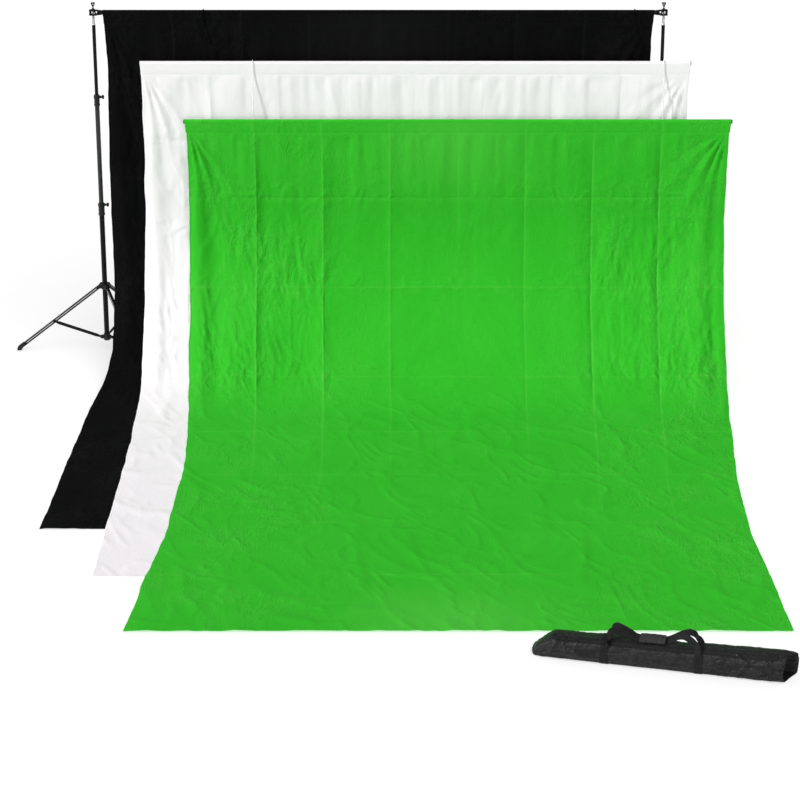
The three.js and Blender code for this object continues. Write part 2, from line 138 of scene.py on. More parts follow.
# ------------------------------------------------------------------ material helper
class Mat:
    """A Principled material with a few node shortcuts."""

    def __init__(self, name, **fixed):
        self.m = bpy.data.materials.new(name)
        self.m.use_nodes = True
        self.nt = self.m.node_tree
        self.b = next(n for n in self.nt.nodes if n.type == "BSDF_PRINCIPLED")
        for k, v in fixed.items():
            self.set(k.replace("_", " "), v)
        self._geo = None

    def set(self, socket, value):
        s = next((x for x in self.b.inputs if x.name.lower() == socket.lower()), None)
        if s is None:
            raise KeyError(socket)
        if hasattr(s.default_value, "__len__") and len(s.default_value) == 4 and len(value) == 3:
            value = (*value, 1)
        s.default_value = value

    def node(self, kind, **props):
        n = self.nt.nodes.new(kind)
        for k, v in props.items():
            setattr(n, k, v)
        return n

    def link(self, a, b):
        self.nt.links.new(a, b)

    def coords(self, attribute=None):
        if attribute:
            n = self.node("ShaderNodeAttribute", attribute_name=attribute)
            return n.outputs["Vector"]
        if self._geo is None:
            self._geo = self.node("ShaderNodeTexCoord")
        return self._geo.outputs["Object"]

    def mapped(self, vec, scale=(1, 1, 1), rot=(0, 0, 0), loc=(0, 0, 0)):
        n = self.node("ShaderNodeMapping")
        n.inputs["Scale"].default_value = scale
        n.inputs["Rotation"].default_value = rot
        n.inputs["Location"].default_value = loc
        self.link(vec, n.inputs["Vector"])
        return n.outputs["Vector"]

    def noise(self, vec, scale, detail=3, rough=0.5, distortion=0.0):
        n = self.node("ShaderNodeTexNoise")
        n.inputs["Scale"].default_value = scale
        n.inputs["Detail"].default_value = detail
        n.inputs["Roughness"].default_value = rough
        n.inputs["Distortion"].default_value = distortion
        self.link(vec, n.inputs["Vector"])
        return n.outputs["Fac"]

    def voronoi(self, vec, scale, feature="F1", randomness=1.0):
        n = self.node("ShaderNodeTexVoronoi", feature=feature)
        n.inputs["Scale"].default_value = scale
        n.inputs["Randomness"].default_value = randomness
        self.link(vec, n.inputs["Vector"])
        return n.outputs["Distance"]

    def wave(self, vec, scale, direction="X", distortion=0.0, profile="SIN"):
        n = self.node("ShaderNodeTexWave", bands_direction=direction, wave_profile=profile)
        n.inputs["Scale"].default_value = scale
        n.inputs["Distortion"].default_value = distortion
        self.link(vec, n.inputs["Vector"])
        return n.outputs["Fac"]

    def math(self, op, a, b=None, c=None, clamp=False):
        n = self.node("ShaderNodeMath", operation=op, use_clamp=clamp)
        for i, v in enumerate((a, b, c)):
            if v is None:
                continue
            if isinstance(v, (int, float)):
                n.inputs[i].default_value = v
            else:
                self.link(v, n.inputs[i])
        return n.outputs[0]

    def ramp(self, fac, stops):
        n = self.node("ShaderNodeValToRGB")
        cr = n.color_ramp
        while len(cr.elements) < len(stops):
            cr.elements.new(0.5)
        for e, (p, c) in zip(cr.elements, stops):
            e.position = p
            e.color = (*c, 1) if len(c) == 3 else c
        self.link(fac, n.inputs["Fac"])
        return n.outputs["Color"]

    def span(self, fac, a0, a1, b0, b1):
        n = self.node("ShaderNodeMapRange")
        for k, v in zip(("From Min", "From Max", "To Min", "To Max"), (a0, a1, b0, b1)):
            n.inputs[k].default_value = v
        self.link(fac, n.inputs["Value"])
        return n.outputs["Result"]

    def mix(self, fac, a, b, blend="MIX"):
        n = self.node("ShaderNodeMix", data_type="RGBA", blend_type=blend)
        fi, ai, bi = n.inputs[0], n.inputs[6], n.inputs[7]
        for s, v in ((fi, fac), (ai, a), (bi, b)):
            if isinstance(v, (int, float)):
                s.default_value = v
            elif isinstance(v, tuple):
                s.default_value = (*v, 1) if len(v) == 3 else v
            else:
                self.link(v, s)
        return n.outputs[2]

    def bump(self, height, distance, strength=1.0, normal=None):
        n = self.node("ShaderNodeBump")
        n.inputs["Strength"].default_value = strength
        n.inputs["Distance"].default_value = distance
        self.link(height, n.inputs["Height"])
        if normal is not None:
            self.link(normal, n.inputs["Normal"])
        return n.outputs["Normal"]

    def out(self, colour=None, rough=None, normal=None):
        for v, s in ((colour, "Base Color"), (rough, "Roughness"), (normal, "Normal")):
            if v is not None:
                self.link(v, self.b.inputs[s])
        return self.m


def lin(*rgb):
    return tuple(((c / 255) / 12.92 if c <= 10 else (((c / 255) + 0.055) / 1.055) ** 2.4) for c in rgb)


# muslin: plain weave with slubs, hems and pocket stitched with visible thread, painted highlight on the fold lines
def muslin(name, base, light, dark, thread, half, length, sheen, stitch_at, spec=0.22, rough_at=0.88, crisp=0.6):
    k = Mat(name, Roughness=0.9, Specular_IOR_Level=spec, Sheen_Weight=sheen, Sheen_Roughness=0.45, Sheen_Tint=light)
    flat = k.coords("flat")
    sep = k.node("ShaderNodeSeparateXYZ"); k.link(flat, sep.inputs[0])
    u, s = sep.outputs["X"], sep.outputs["Y"]
    cloudy = k.noise(flat, 1.7, 4, 0.55)
    slub_u = k.noise(k.mapped(flat, (900, 14, 1)), 1.0, 2)
    slub_s = k.noise(k.mapped(flat, (14, 900, 1)), 1.0, 2)
    slub = k.math("ADD", slub_u, slub_s)
    col = k.ramp(cloudy, [(0.25, tuple(0.85 * b + 0.15 * c for b, c in zip(base, dark))), (0.5, base), (0.8, tuple(0.93 * b + 0.07 * c for b, c in zip(base, light)))])
    col = k.mix(k.span(slub, 0.75, 1.25, 0.0, 0.16), col, light)
    # painted highlight: the fold crests and two broad patches high and low in the middle are tinted lighter
    wear_and_highlight = k.node("ShaderNodeAttribute", attribute_name="wear_and_highlight").outputs["Fac"]
    fuzz = k.noise(flat, 260, 2)
    highlight_mask = k.math("MULTIPLY", wear_and_highlight, k.span(fuzz, 0.35, 0.65, 0.45, 1.0), clamp=True)
    col = k.mix(highlight_mask, col, light)
    # seams: two side hems, the front hem, the pocket line
    au = k.math("ABSOLUTE", u)
    d_side = k.math("ABSOLUTE", k.math("SUBTRACT", au, half - 0.016))
    d_front = k.math("ABSOLUTE", k.math("SUBTRACT", s, length - 0.018))
    d_pocket = k.math("ABSOLUTE", k.math("SUBTRACT", s, stitch_at))
    across = k.math("MINIMUM", d_front, d_pocket)
    line_a = k.math("LESS_THAN", d_side, 0.0007)
    line_b = k.math("LESS_THAN", across, 0.0007)
    dash_a = k.math("GREATER_THAN", k.math("FRACT", k.math("MULTIPLY", s, 333.0)), 0.25)
    dash_b = k.math("GREATER_THAN", k.math("FRACT", k.math("MULTIPLY", u, 333.0)), 0.25)
    stitches = k.math("MAXIMUM", k.math("MULTIPLY", line_a, dash_a), k.math("MULTIPLY", line_b, dash_b))
    col = k.mix(stitches, col, thread)
    # weave, slubs and the finest crumple as relief
    wu = k.math("SINE", k.math("MULTIPLY", u, 2 * math.pi / 0.0011))
    ws = k.math("SINE", k.math("MULTIPLY", s, 2 * math.pi / 0.0011))
    weave = k.math("MULTIPLY", wu, ws)
    warp = k.noise(k.mapped(flat, (20, 8, 1)), 1.0, 4, 0.55, 0.6)
    crumple = k.math("SUBTRACT", 1.0, k.math("MULTIPLY", k.math("ABSOLUTE", k.math("SUBTRACT", warp, 0.5)), 11.0), clamp=True)
    second = k.noise(k.mapped(flat, (13, 21, 1), rot=(0, 0, 0.5)), 1.0, 3, 0.5, 0.9)
    second = k.math("SUBTRACT", 1.0, k.math("MULTIPLY", k.math("ABSOLUTE", k.math("SUBTRACT", second, 0.5)), 14.0), clamp=True)
    patchy = k.span(k.noise(k.mapped(flat, (2.6, 2.2, 1)), 1.0, 2), 0.42, 0.62, 0.12, 1.0)
    outward = k.span(k.math("ABSOLUTE", u), 0.45, 1.1, 0.30, 1.0)
    crumple = k.math("MULTIPLY", k.math("MULTIPLY", k.math("MAXIMUM", crumple, k.math("MULTIPLY", second, 0.8)), patchy), outward)
    fine = k.noise(k.mapped(flat, (60, 30, 1)), 1.0, 3, 0.6, 0.3)
    n = k.bump(crumple, 0.0042 * crisp, 0.75)
    n = k.bump(fine, 0.0012, 0.5, n)
    n = k.bump(slub, 0.00025, 0.5, n)
    n = k.bump(weave, 0.00012, 0.5, n)
    n = k.bump(stitches, 0.0005, 0.6, n)
    # painted highlight: the crumple ridges are tinted lighter
    col = k.mix(k.math("MULTIPLY", crumple, 0.20 * crisp), col, light)
    rough = k.span(slub, 0.7, 1.3, rough_at - 0.05, rough_at + 0.07)
    return k.out(col, rough, n)


# ------------------------------------------------------------------ the other finishes
def painted(name, base, rough, metallic=0.0, speck=0.4, wear_and_highlight=0.0, bare=(0.5, 0.5, 0.52), spec=0.5, coat=0.0):
    k = Mat(name, Metallic=metallic, Specular_IOR_Level=spec, Coat_Weight=coat, Coat_Roughness=0.25)
    o = k.coords()
    cloud = k.noise(o, 22, 4, 0.6)
    peel = k.noise(o, 2600, 2)
    col = k.ramp(cloud, [(0.3, tuple(c * 0.8 for c in base)), (0.7, tuple(min(1, c * 1.25) for c in base))])
    scratch = k.noise(k.mapped(o, (90, 90, 1400)), 1.0, 3, 0.7, 1.2)
    nicks = k.math("GREATER_THAN", k.math("MULTIPLY", scratch, k.noise(o, 46, 3)), 0.44)
    if wear_and_highlight:
        edge = k.node("ShaderNodeAttribute", attribute_name="edge").outputs["Fac"]
        mask = k.math("MULTIPLY", k.math("ADD", k.math("MULTIPLY", nicks, 0.5), k.math("MULTIPLY", edge, k.noise(o, 400, 3))), wear_and_highlight, clamp=True)
        col = k.mix(mask, col, bare)
    rough_v = k.span(k.noise(o, 60, 4, 0.65), 0.3, 0.7, rough - 0.07, rough + 0.09)
    n = k.bump(peel, 0.00018 * speck, 0.6)
    n = k.bump(cloud, 0.0004, 0.25, n)
    return k.out(col, rough_v, n)


def metal(name, base, rough, axis_scale=(500, 500, 8), dark=0.75):
    k = Mat(name, Metallic=1.0)
    o = k.coords()
    brushed = k.noise(k.mapped(o, axis_scale), 1.0, 3, 0.6)
    cloud = k.noise(o, 30, 4, 0.6)
    col = k.ramp(cloud, [(0.3, tuple(c * dark for c in base)), (0.7, base)])
    rough_v = k.span(brushed, 0.3, 0.7, rough - 0.06, rough + 0.1)
    n = k.bump(brushed, 0.00012, 0.5)
    return k.out(col, rough_v, n)


def moulded(name, base, rough, grain=1.0):
    k = Mat(name, Specular_IOR_Level=0.25)
    o = k.coords()
    cells = k.voronoi(o, 1500)
    cloud = k.noise(o, 35, 4, 0.6)
    col = k.ramp(cloud, [(0.3, tuple(c * 0.8 for c in base)), (0.7, tuple(min(1, c * 1.3) for c in base))])
    # the plastic is tinted lighter towards sharp edges
    edge = k.node("ShaderNodeAttribute", attribute_name="edge").outputs["Fac"]
    col = k.mix(k.math("MULTIPLY", edge, 0.35), col, tuple(min(1, c * 3 + 0.02) for c in base))
    rough_v = k.span(cloud, 0.3, 0.7, rough - 0.06, rough + 0.08)
    n = k.bump(cells, 0.00016 * grain, 0.6)
    n = k.bump(k.noise(o, 300, 3), 0.0002, 0.3, n)
    return k.out(col, rough_v, n)


def woven(name, base, light, pitch, rough, depth, axis="ab", sheen=0.15, rib=False):
    """Cloth or webbing that reads its own flat coordinates."""
    k = Mat(name, Specular_IOR_Level=0.20, Sheen_Weight=sheen, Sheen_Roughness=0.4, Sheen_Tint=light)
    flat = k.coords("flat")
    sep = k.node("ShaderNodeSeparateXYZ"); k.link(flat, sep.inputs[0])
    a, b = sep.outputs["X"], sep.outputs["Y"]
    wa = k.math("SINE", k.math("MULTIPLY", a, 2 * math.pi / pitch))
    wb = k.math("SINE", k.math("MULTIPLY", b, 2 * math.pi / (pitch * (0.5 if rib else 1))))
    weave = k.math("MULTIPLY", wa, wb) if not rib else k.math("ADD", k.math("MULTIPLY", k.math("ABSOLUTE", wa), 0.6), k.math("MULTIPLY", wb, 0.4))
    cloud = k.noise(flat, 9, 4, 0.6)
    fine_noise = k.noise(flat, 70, 4, 0.7)
    col = k.ramp(cloud, [(0.3, tuple(c * 0.82 for c in base)), (0.72, tuple(c * 1.2 for c in base))])
    # painted highlight: the crests marked in the attribute are tinted lighter
    wear_and_highlight = k.node("ShaderNodeAttribute", attribute_name="wear_and_highlight").outputs["Fac"]
    col = k.mix(k.math("MULTIPLY", wear_and_highlight, k.span(fine_noise, 0.3, 0.7, 0.4, 1.0), clamp=True), col, light)
    col = k.mix(k.span(weave, -1, 1, 0.0, 0.12), col, light)
    rough_v = k.span(cloud, 0.3, 0.7, rough - 0.06, rough + 0.08)
    fold = k.noise(k.mapped(flat, (9, 26, 1), rot=(0, 0, 0.35)), 1.0, 4, 0.55, 0.8)
    fold = k.math("SUBTRACT", 1.0, k.math("MULTIPLY", k.math("ABSOLUTE", k.math("SUBTRACT", fold, 0.5)), 10.0), clamp=True)
    # painted highlight: the fold ridges are tinted lighter
    if not rib:
        col = k.mix(k.math("MULTIPLY", fold, k.span(fine_noise, 0.35, 0.65, 0.05, 0.35)), col, light)
    n = k.bump(fold, 0.0030 if not rib else 0.0004, 0.6)
    n = k.bump(fine_noise, 0.0006, 0.35, n)
    n = k.bump(weave, depth, 0.7, n)
    return k.out(col, rough_v, n)


BLACK_PAINT = painted("black_paint_finish", (0.0022, 0.0022, 0.0024), 0.28, 0.0, 0.5, wear_and_highlight=0.35, bare=(0.09, 0.09, 0.095), spec=0.09)
DARK_STEEL = metal("tube_steel_finish", (0.060, 0.061, 0.063), 0.26, (420, 420, 6))
POLE_STEEL = metal("pole_finish", (0.30, 0.31, 0.31), 0.34, (6, 420, 420))
ZINC = metal("zinc_finish", (0.62, 0.63, 0.64), 0.27, (300, 300, 300), 0.82)
PLASTIC = moulded("black_plastic_finish", (0.0065, 0.0065, 0.007), 0.42)
CASTING = painted("casting_finish", (0.0030, 0.0030, 0.0034), 0.40, 0.0, 1.2, wear_and_highlight=0.3, bare=(0.10, 0.10, 0.105), spec=0.12)
# light grey finish for the strips along the legs: a painted highlight standing in for the glint on the black channel;
# the nicks in it are paint wear
HIGHLIGHT_STRIPE = painted("painted_highlight_stripe_finish", (0.46, 0.46, 0.47), 0.34, 0.0, 0.5, wear_and_highlight=0.35, bare=(0.09, 0.09, 0.095), spec=0.30)
RUBBER = moulded("foot_finish", (0.010, 0.010, 0.010), 0.72, 1.8)
HOOK_BLACK = painted("hook_black_finish", (0.0022, 0.0022, 0.0023), 0.85, 0.0, 0.4, spec=0.05)
HOOK_PALE = painted("hook_pale_finish", (0.92, 0.88, 0.915), 0.8, 0.0, 0.4, spec=0.1)


# ------------------------------------------------------------------ mesh helpers
class Builder:
    """Collects closed shells in millimetres and makes one object in the row frame."""

    def __init__(self):
        self.v, self.f = [], []

    def add(self, verts, faces, m=None):
        v = np.asarray(verts, float)
        if m is not None:
            v = v @ m[:3, :3].T + m[:3, 3]
            if np.linalg.det(m[:3, :3]) < 0:
                faces = [tuple(reversed(q)) for q in faces]
        base = sum(len(x) for x in self.v)
        self.v.append(v)
        self.f += [tuple(i + base for i in q) for q in faces]
        return self

    def lathe(self, profile, n=48, m=None, lobes=None):
        """profile: (r, z) points outward-facing; ends on the axis close the shell, otherwise the loop closes itself."""
        p = [tuple(map(float, q)) for q in profile]
        closed = not (p[0][0] == 0 and p[-1][0] == 0)
        a = np.linspace(0, 2 * math.pi, n, endpoint=False)
        verts, rows = [], []
        for r, z in p:
            if r == 0:
                rows.append([len(verts)] * n); verts.append((0, 0, z))
            else:
                rr = r * (lobes(a, r) if lobes else 1)
                rows.append(list(range(len(verts), len(verts) + n)))
                verts += list(zip(rr * np.cos(a), rr * np.sin(a), np.full(n, z)))
        faces = []
        pairs = list(zip(rows[:-1], rows[1:])) + ([(rows[-1], rows[0])] if closed else [])
        for ra, rb in pairs:
            for i in range(n):
                j = (i + 1) % n
                q = [ra[i], ra[j], rb[j], rb[i]]
                q = [x for t, x in enumerate(q) if x != q[t - 1]]
                if len(q) >= 3:
                    faces.append(tuple(q))
        return self.add(verts, faces, m)

    def slab(self, outline, y0, y1, holes=(), m=None):
        """A flat outline in X-Z with holes, thickened along Y."""
        bm = bmesh.new()
        loops = []
        for ring in [outline, *holes]:
            vs = [bm.verts.new((x, y0, z)) for x, z in ring]
            es = [bm.edges.new((vs[i], vs[(i + 1) % len(vs)])) for i in range(len(vs))]
            loops += es
        bmesh.ops.triangle_fill(bm, use_beauty=True, use_dissolve=False, edges=loops)
        bmesh.ops.dissolve_limit(bm, angle_limit=0.01, verts=bm.verts, edges=[e for e in bm.edges if not e.is_boundary])
        ret = bmesh.ops.extrude_face_region(bm, geom=list(bm.faces))
        bmesh.ops.translate(bm, vec=(0, y1 - y0, 0), verts=[g for g in ret["geom"] if isinstance(g, bmesh.types.BMVert)])
        bmesh.ops.recalc_face_normals(bm, faces=list(bm.faces))
        bm.verts.index_update()
        self.add([tuple(v.co) for v in bm.verts], [tuple(v.index for v in f.verts) for f in bm.faces], m)
        bm.free()
        return self

    def sweep(self, path, section, m=None, up=(0, 1, 0)):
        """A section (n,2) carried along a path; ends capped."""
        P = np.asarray(path, float); n = len(section)
        t = np.gradient(P, axis=0); t /= np.linalg.norm(t, axis=1)[:, None]
        verts = []
        side = np.asarray(up, float)
        for i in range(len(P)):
            s = side - t[i] * (side @ t[i]); s /= np.linalg.norm(s)
            w = np.cross(t[i], s)
            verts += [tuple(P[i] + s * a + w * b) for a, b in section]
        faces = []
        for i in range(len(P) - 1):
            for j in range(n):
                k = (j + 1) % n
                faces.append((i * n + j, i * n + k, (i + 1) * n + k, (i + 1) * n + j))
        faces.append(tuple(reversed(range(n))))
        faces.append(tuple(range((len(P) - 1) * n, len(P) * n)))
        return self.add(verts, faces, m)

    def object(self, name, material, body, slot, replaces=(), bevel=0.0, segments=2, angle=30.0, weld=True):
        me = bpy.data.meshes.new(name)
        v = (np.concatenate(self.v) + WHERE) * 0.001
        me.from_pydata([tuple(p) for p in v], [], self.f)
        bm = bmesh.new(); bm.from_mesh(me)
        bmesh.ops.recalc_face_normals(bm, faces=list(bm.faces))
        if bevel:
            sharp = [e for e in bm.edges if len(e.link_faces) == 2 and e.calc_face_angle(0) > math.radians(angle)]
            bmesh.ops.bevel(bm, geom=sharp, offset=bevel * 0.001, segments=segments, profile=0.6, affect="EDGES", clamp_overlap=True, loop_slide=True)
        # how sharp each vertex stands, for the paint's edge wear and the plastic's lighter edges
        bm.verts.ensure_lookup_table()
        bm.to_mesh(me)
        sharpness = np.array([max([e.calc_face_angle(0) if len(e.link_faces) == 2 else 0 for e in vt.link_edges] or [0]) for vt in bm.verts])
        bm.free()
        att = me.attributes.new("edge", "FLOAT", "POINT")
        att.data.foreach_set("value", np.clip(sharpness / 0.7, 0, 1).astype(np.float32))
        me.shade_smooth()
        me.set_sharp_from_angle(angle=math.radians(38))
        me.materials.append(material)
        o = bpy.data.objects.new(name, me)
        scene.collection.objects.link(o)
        if replaces:
            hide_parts(*replaces)
        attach(o, body)
        return o


def arc(cx, cz, r, a0, a1, n):
    return [(cx + r * math.cos(math.radians(a0 + (a1 - a0) * i / n)), cz + r * math.sin(math.radians(a0 + (a1 - a0) * i / n))) for i in range(n + 1)]


def circle(cx, cz, r, n=24):
    return [(cx + r * math.cos(2 * math.pi * i / n), cz + r * math.sin(2 * math.pi * i / n)) for i in range(n)]


ALONG_X = R("y", 90)
WALL, GAP = 1.15, 0.35


def tube(b, ro, z0, z1, m, n=64, wall=WALL):
    return b.lathe([(ro - wall, z0), (ro, z0), (ro, z1), (ro - wall, z1)], n, m)


def knob_shape(b, tip, seat, m):
    """Stud, neck and fluted head on the local X axis."""
    b.lathe([(0, tip), (3.4, tip), (4, tip + 0.6), (4, seat + 2), (0, seat + 2)], 28, m @ ALONG_X)
    b.lathe([(0, seat), (5.2, seat), (5.6, seat + 0.6), (5.6, seat + 4.6), (0, seat + 4.6)], 36, m @ ALONG_X)
    z0, z1 = seat + 4, seat + 17
    flutes = lambda a, r: 1 - 0.2 * np.clip(np.cos(6 * a), 0, 1) ** 1.6 * min(1.0, r / 9)
    b.lathe([(0, z0), (6.6, z0), (9.2, z0 + 0.7), (10.6, z0 + 2.4), (11, z0 + 5), (11, z1 - 3.2), (10.3, z1 - 1.1), (8.6, z1 - 0.1), (6.0, z1), (4.6, z1 - 0.9), (0, z1 - 0.9)],
            96, m @ ALONG_X @ R("z", 30), flutes)


BASE_PIVOT, HUB_PIVOT, FOOT_AT, LEG_AZ = (30, 84), (30, 380), (490, 14), (180, 60, -60)


def build_stand(side):
    x0 = STAND_X[side]
    P = T(x0, 0, 0)
    nm = lambda part: f"{part}_{side}"
    kit = {}

    b = Builder(); tube(b, 14, 67, 841.5, P)
    b.object(nm("lower_tube_fine"), BLACK_PAINT, "root", "black_paint", [nm("lower_tube")], 0.35, 2)
    b = Builder(); tube(b, 12.5, 570, 1450, P)
    b.object(nm("mid_tube_fine"), DARK_STEEL, f"mid_{side}", "tube_steel", [nm("mid_tube")], 0.35, 2)
    b = Builder(); tube(b, 9.5, 1210 + UP, 1894 + UP, P)
    b.object(nm("top_tube_fine"), BLACK_PAINT, "upper", "black_paint", [nm("top_tube")], 0.35, 2)

    b = Builder()
    r0 = 9.5 - WALL - GAP
    b.lathe([(0, 1868), (r0, 1868), (r0, 1894.4), (9.2, 1894.4), (9.2, 1899), (8, 1901), (8, 1910), (6.9, 1911), (6.2, 1912.6), (6.2, 1918.4), (6.9, 1920), (8, 1921),
             (8, 1934), (7.4, 1935.2), (7, 1936), (6.4, 1945.6), (4.8, 1945.6), (4.8, 1956), (4.2, 1957), (0, 1957)], 56, P @ T(0, 0, UP))
    b.object(nm("spigot_fine"), ZINC, "upper", "zinc", [nm("spigot")], 0.3, 2)

    # collars: a ribbed sleeve with a flared lower lip and a boss for the knob
    def collar(node, ri_low, ri_up, z0, z1, step_z, ro, lip, kz, seat, body):
        b = Builder()
        prof = [(ri_low, z0), (lip - 1.2, z0), (lip, z0 + 2.4), (lip, z0 + 8.6), (ro, z0 + 12.4)]
        z = z0 + 16
        while z < z1 - 24:
            prof += [(ro, z), (ro - 0.7, z + 0.7), (ro - 0.7, z + 2.2), (ro, z + 2.9)]
            z += 6.2
        prof += [(ro, z1 - 5), (ro - 0.5, z1 - 2.6), (ro - 1.5, z1), (ri_up, z1), (ri_up, step_z), (ri_low, step_z)]
        b.lathe(prof, 56, P)
        b.lathe([(4 + GAP, ro - 2.6), (8.6, ro - 2.6), (8, seat - 1.6), (7.4, seat - 0.5), (4 + GAP, seat - 0.5)], 40, P @ T(0, 0, kz) @ ALONG_X)
        # clamp ears with a slot, on the side away from the knob
        for sy in (-1, 1):
            b.slab([(-ro - 1.6, z1 - 20), (-ro + 2.2, z1 - 21), (-ro + 2.2, z1 - 3), (-ro - 1.6, z1 - 4.5)], sy * 1.1 - (2.0 if sy < 0 else 0), sy * 1.1 + (2.0 if sy > 0 else 0), [], P)
        b.object(f"{node}_fine_{side}", PLASTIC, body, "black_plastic", [nm(node)], 0.3, 2)

    collar("upper_collar", 12.5 + GAP, 9.5 + GAP, 1421, 1483, 1450.5, 15, 16.4, 1470, 22.4, f"mid_{side}")
    collar("lower_collar", 14 + GAP, 12.5 + GAP, 797, 868, 842, 17, 18.4, 857, 24.4, "root")
    for node, tip, seat, kz in (("upper_knob", 9.9, 22.4, 1470), ("lower_knob", 12.9, 24.4, 857)):
        b = Builder(); knob_shape(b, tip, seat, P @ T(0, 0, kz))
        b.object(f"{node}_fine_{side}", PLASTIC, nm(node), "black_plastic", [nm(node)], 0.25, 2)

    # sliding hub
    def lug(px, pz, z0, z1, y0, y1, m, inner=15.0):
        b.slab([(inner, z0)] + [(px - 2, z0)] + arc(px, pz, 8, -78, 78, 10) + [(px - 2, z1), (inner, z1)], y0, y1, [], m)

    def rivet(x, z, y0, y1, m, r=2.5, head=4.0):
        b.lathe([(0, y0 - 1.5), (head * 0.6, y0 - 1.3), (head, y0 - 0.5), (head, y0), (r, y0), (r, y1), (head, y1), (head, y1 + 0.5), (head * 0.6, y1 + 1.3), (0, y1 + 1.5)],
                20, m @ T(x, 0, z) @ R("x", -90))

    b = Builder()
    b.lathe([(14 + GAP, 363), (17, 363), (18, 364.4), (18, 368), (16.9, 369), (16.9, 393), (18, 394), (18, 397.6), (17, 399), (14 + GAP, 399)], 64, P)
    for az in LEG_AZ:
        m = P @ R("z", az)
        lug(30, 380, 370, 392, 8.4, 12.2, m); lug(30, 380, 370, 392, -12.2, -8.4, m)
        rivet(30, 380, -12.2, 12.2, m)
    # the skirt that covers the lugs
    b.lathe([(17.2, 393.2), (28.6, 393.2), (30.6, 394.2), (31, 395.6), (30.4, 396.9), (24, 398.0), (17.2, 398.6)], 64, P)
    boss = P @ R("z", 120) @ T(0, 0, 381)
    b.lathe([(4 + GAP, 15.6), (8.6, 15.6), (8, 25), (7.4, 26), (4 + GAP, 26)], 40, boss @ ALONG_X)
    b.object(nm("leg_hub_fine"), PLASTIC, nm("hub"), "black_plastic", [nm("leg_hub")], 0.5, 2)
    b = Builder(); knob_shape(b, 14.4, 26.4, boss)
    b.object(nm("hub_knob_fine"), PLASTIC, nm("hub_knob"), "black_plastic", [nm("hub_knob")], 0.25, 2)

    b = Builder()
    b.lathe([(0, 62), (16, 62), (17.6, 63), (18.4, 65), (18.4, 96), (17.6, 99), (16.6, 100), (14 + GAP, 100), (14 + GAP, 66.6), (0, 66.6)], 64, P)
    for az in LEG_AZ:
        m = P @ R("z", az)
        lug(30, 84, 74, 94, 4.6, 8.1, m); lug(30, 84, 74, 94, 12.1, 15.6, m)
        rivet(30, 84, 4.6, 15.6, m)
    b.object(nm("base_hub_fine"), PLASTIC, "root", "black_plastic", [nm("base_hub")], 0.5, 2)

    hx, hz = HUB_PIVOT; fx, fz = FOOT_AT; bx, bz = BASE_PIVOT
    L = math.hypot(fx - hx, hz - fz); slope = math.degrees(math.atan2(hz - fz, fx - hx))
    t = 0.56
    px, pz = hx + (fx - hx) * t, hz + (fz - hz) * t
    BL = math.hypot(px - bx, pz - bz); rise = math.degrees(math.atan2(pz - bz, px - bx))
    for i, az in enumerate(LEG_AZ, 1):
        m = P @ R("z", az)
        leg_m = m @ T(hx, 0, hz) @ R("y", slope)
        b = Builder()
        # inverted U: outer corners rounded, 1.6 mm wall, swept along the leg
        outer = [(-8, -9.5), (-8, 6.4)] + [(-8 + 2.8 * (1 - math.cos(a)), 6.4 + 2.8 * math.sin(a)) for a in np.radians((22.5, 45, 67.5, 90))]
        outer += [(-x, z) for x, z in reversed(outer)]
        inner = [(-6.5, -9.5), (-6.5, 5.6), (-5.9, 7.1), (-4.6, 7.6)]
        inner += [(-x, z) for x, z in reversed(inner)]
        ring = outer + list(reversed(inner))
        path = [(s, 0, 0) for s in (-7, -5, 0, L * 0.25, L * 0.5, L * 0.75, L - 12, L - 10)]
        b.sweep(path, ring, leg_m, up=(0, 1, 0))
        b.lathe([(0, 7.9), (3.2, 7.9), (4.5, 8.6), (4.5, 9.2), (3.2, 9.8), (0, 9.9)], 24, leg_m @ T(L * t, 0, 0) @ R("x", 90))
        b.lathe([(0, 7.9), (3.2, 7.9), (4.5, 8.2), (4.5, 8.35), (0, 8.42)], 24, leg_m @ T(L * t, 0, 0) @ R("x", -90))
        # a raised strip along each side of the leg in the light grey finish: a painted highlight along the black
        # channel
        bead = Builder()
        for y0, y1 in ((-8.4, -7.2), (7.2, 8.4)):
            for x0, x1 in ((20, L * t - 9), (L * t + 9, L - 52)):
                bead.slab([(x0, 0.2), (x0 + 2, -1.6), (x1 - 2, -1.6), (x1, 0.2), (x1, 1.6), (x1 - 2, 3.4), (x0 + 2, 3.4), (x0, 1.6)], y0, y1, [], leg_m)
        bead.object(f"leg_{i}_rib_{side}", HIGHLIGHT_STRIPE, f"leg_{i}_{side}_body", "black_paint")
        b.object(f"leg_{i}_fine_{side}", BLACK_PAINT, f"leg_{i}_{side}_body", "black_paint", [f"leg_{i}_{side}"], 0.3, 2, 40)

        brace_m = m @ T(bx, 0, bz) @ R("y", -rise)
        b = Builder()
        out = arc(0, 0, 6, 90, 270, 14) + [(12, -6.4), (26, -9), (BL - 26, -9), (BL - 12, -6.4)] + arc(BL, 0, 6, -90, 90, 14) + [(BL - 12, 6.4), (BL - 26, 9), (26, 9), (12, 6.4)]
        b.slab(out, 8.6, 11.6, [circle(0, 0, 2.5 + GAP, 16)], brace_m)
        b.lathe([(0, 11.2), (4.5, 11.2), (4.5, 12.6), (3.2, 13.5), (0, 13.6)], 24, brace_m @ T(BL, 0, 0) @ R("x", -90))
        # a pressed stiffening rib along the bar
        b.lathe([(0, 30), (1.1, 31), (1.5, 34), (1.5, BL - 34), (1.1, BL - 31), (0, BL - 30)], 16, brace_m @ T(0, 11.3, 0) @ ALONG_X)
        b.object(f"brace_{i}_fine_{side}", BLACK_PAINT, f"brace_{i}_{side}_body", "black_paint", [f"brace_{i}_{side}"], 0.45, 2)

        b = Builder()
        foot = [(458, 31), (468.5, 45.0), (482, 34.4), (496, 23), (501.6, 17), (503.6, 11), (503.6, 2.4), (501.4, 0), (484.6, 0), (481.2, 1.6), (478.6, 6), (474, 13.2), (466, 22.4)]
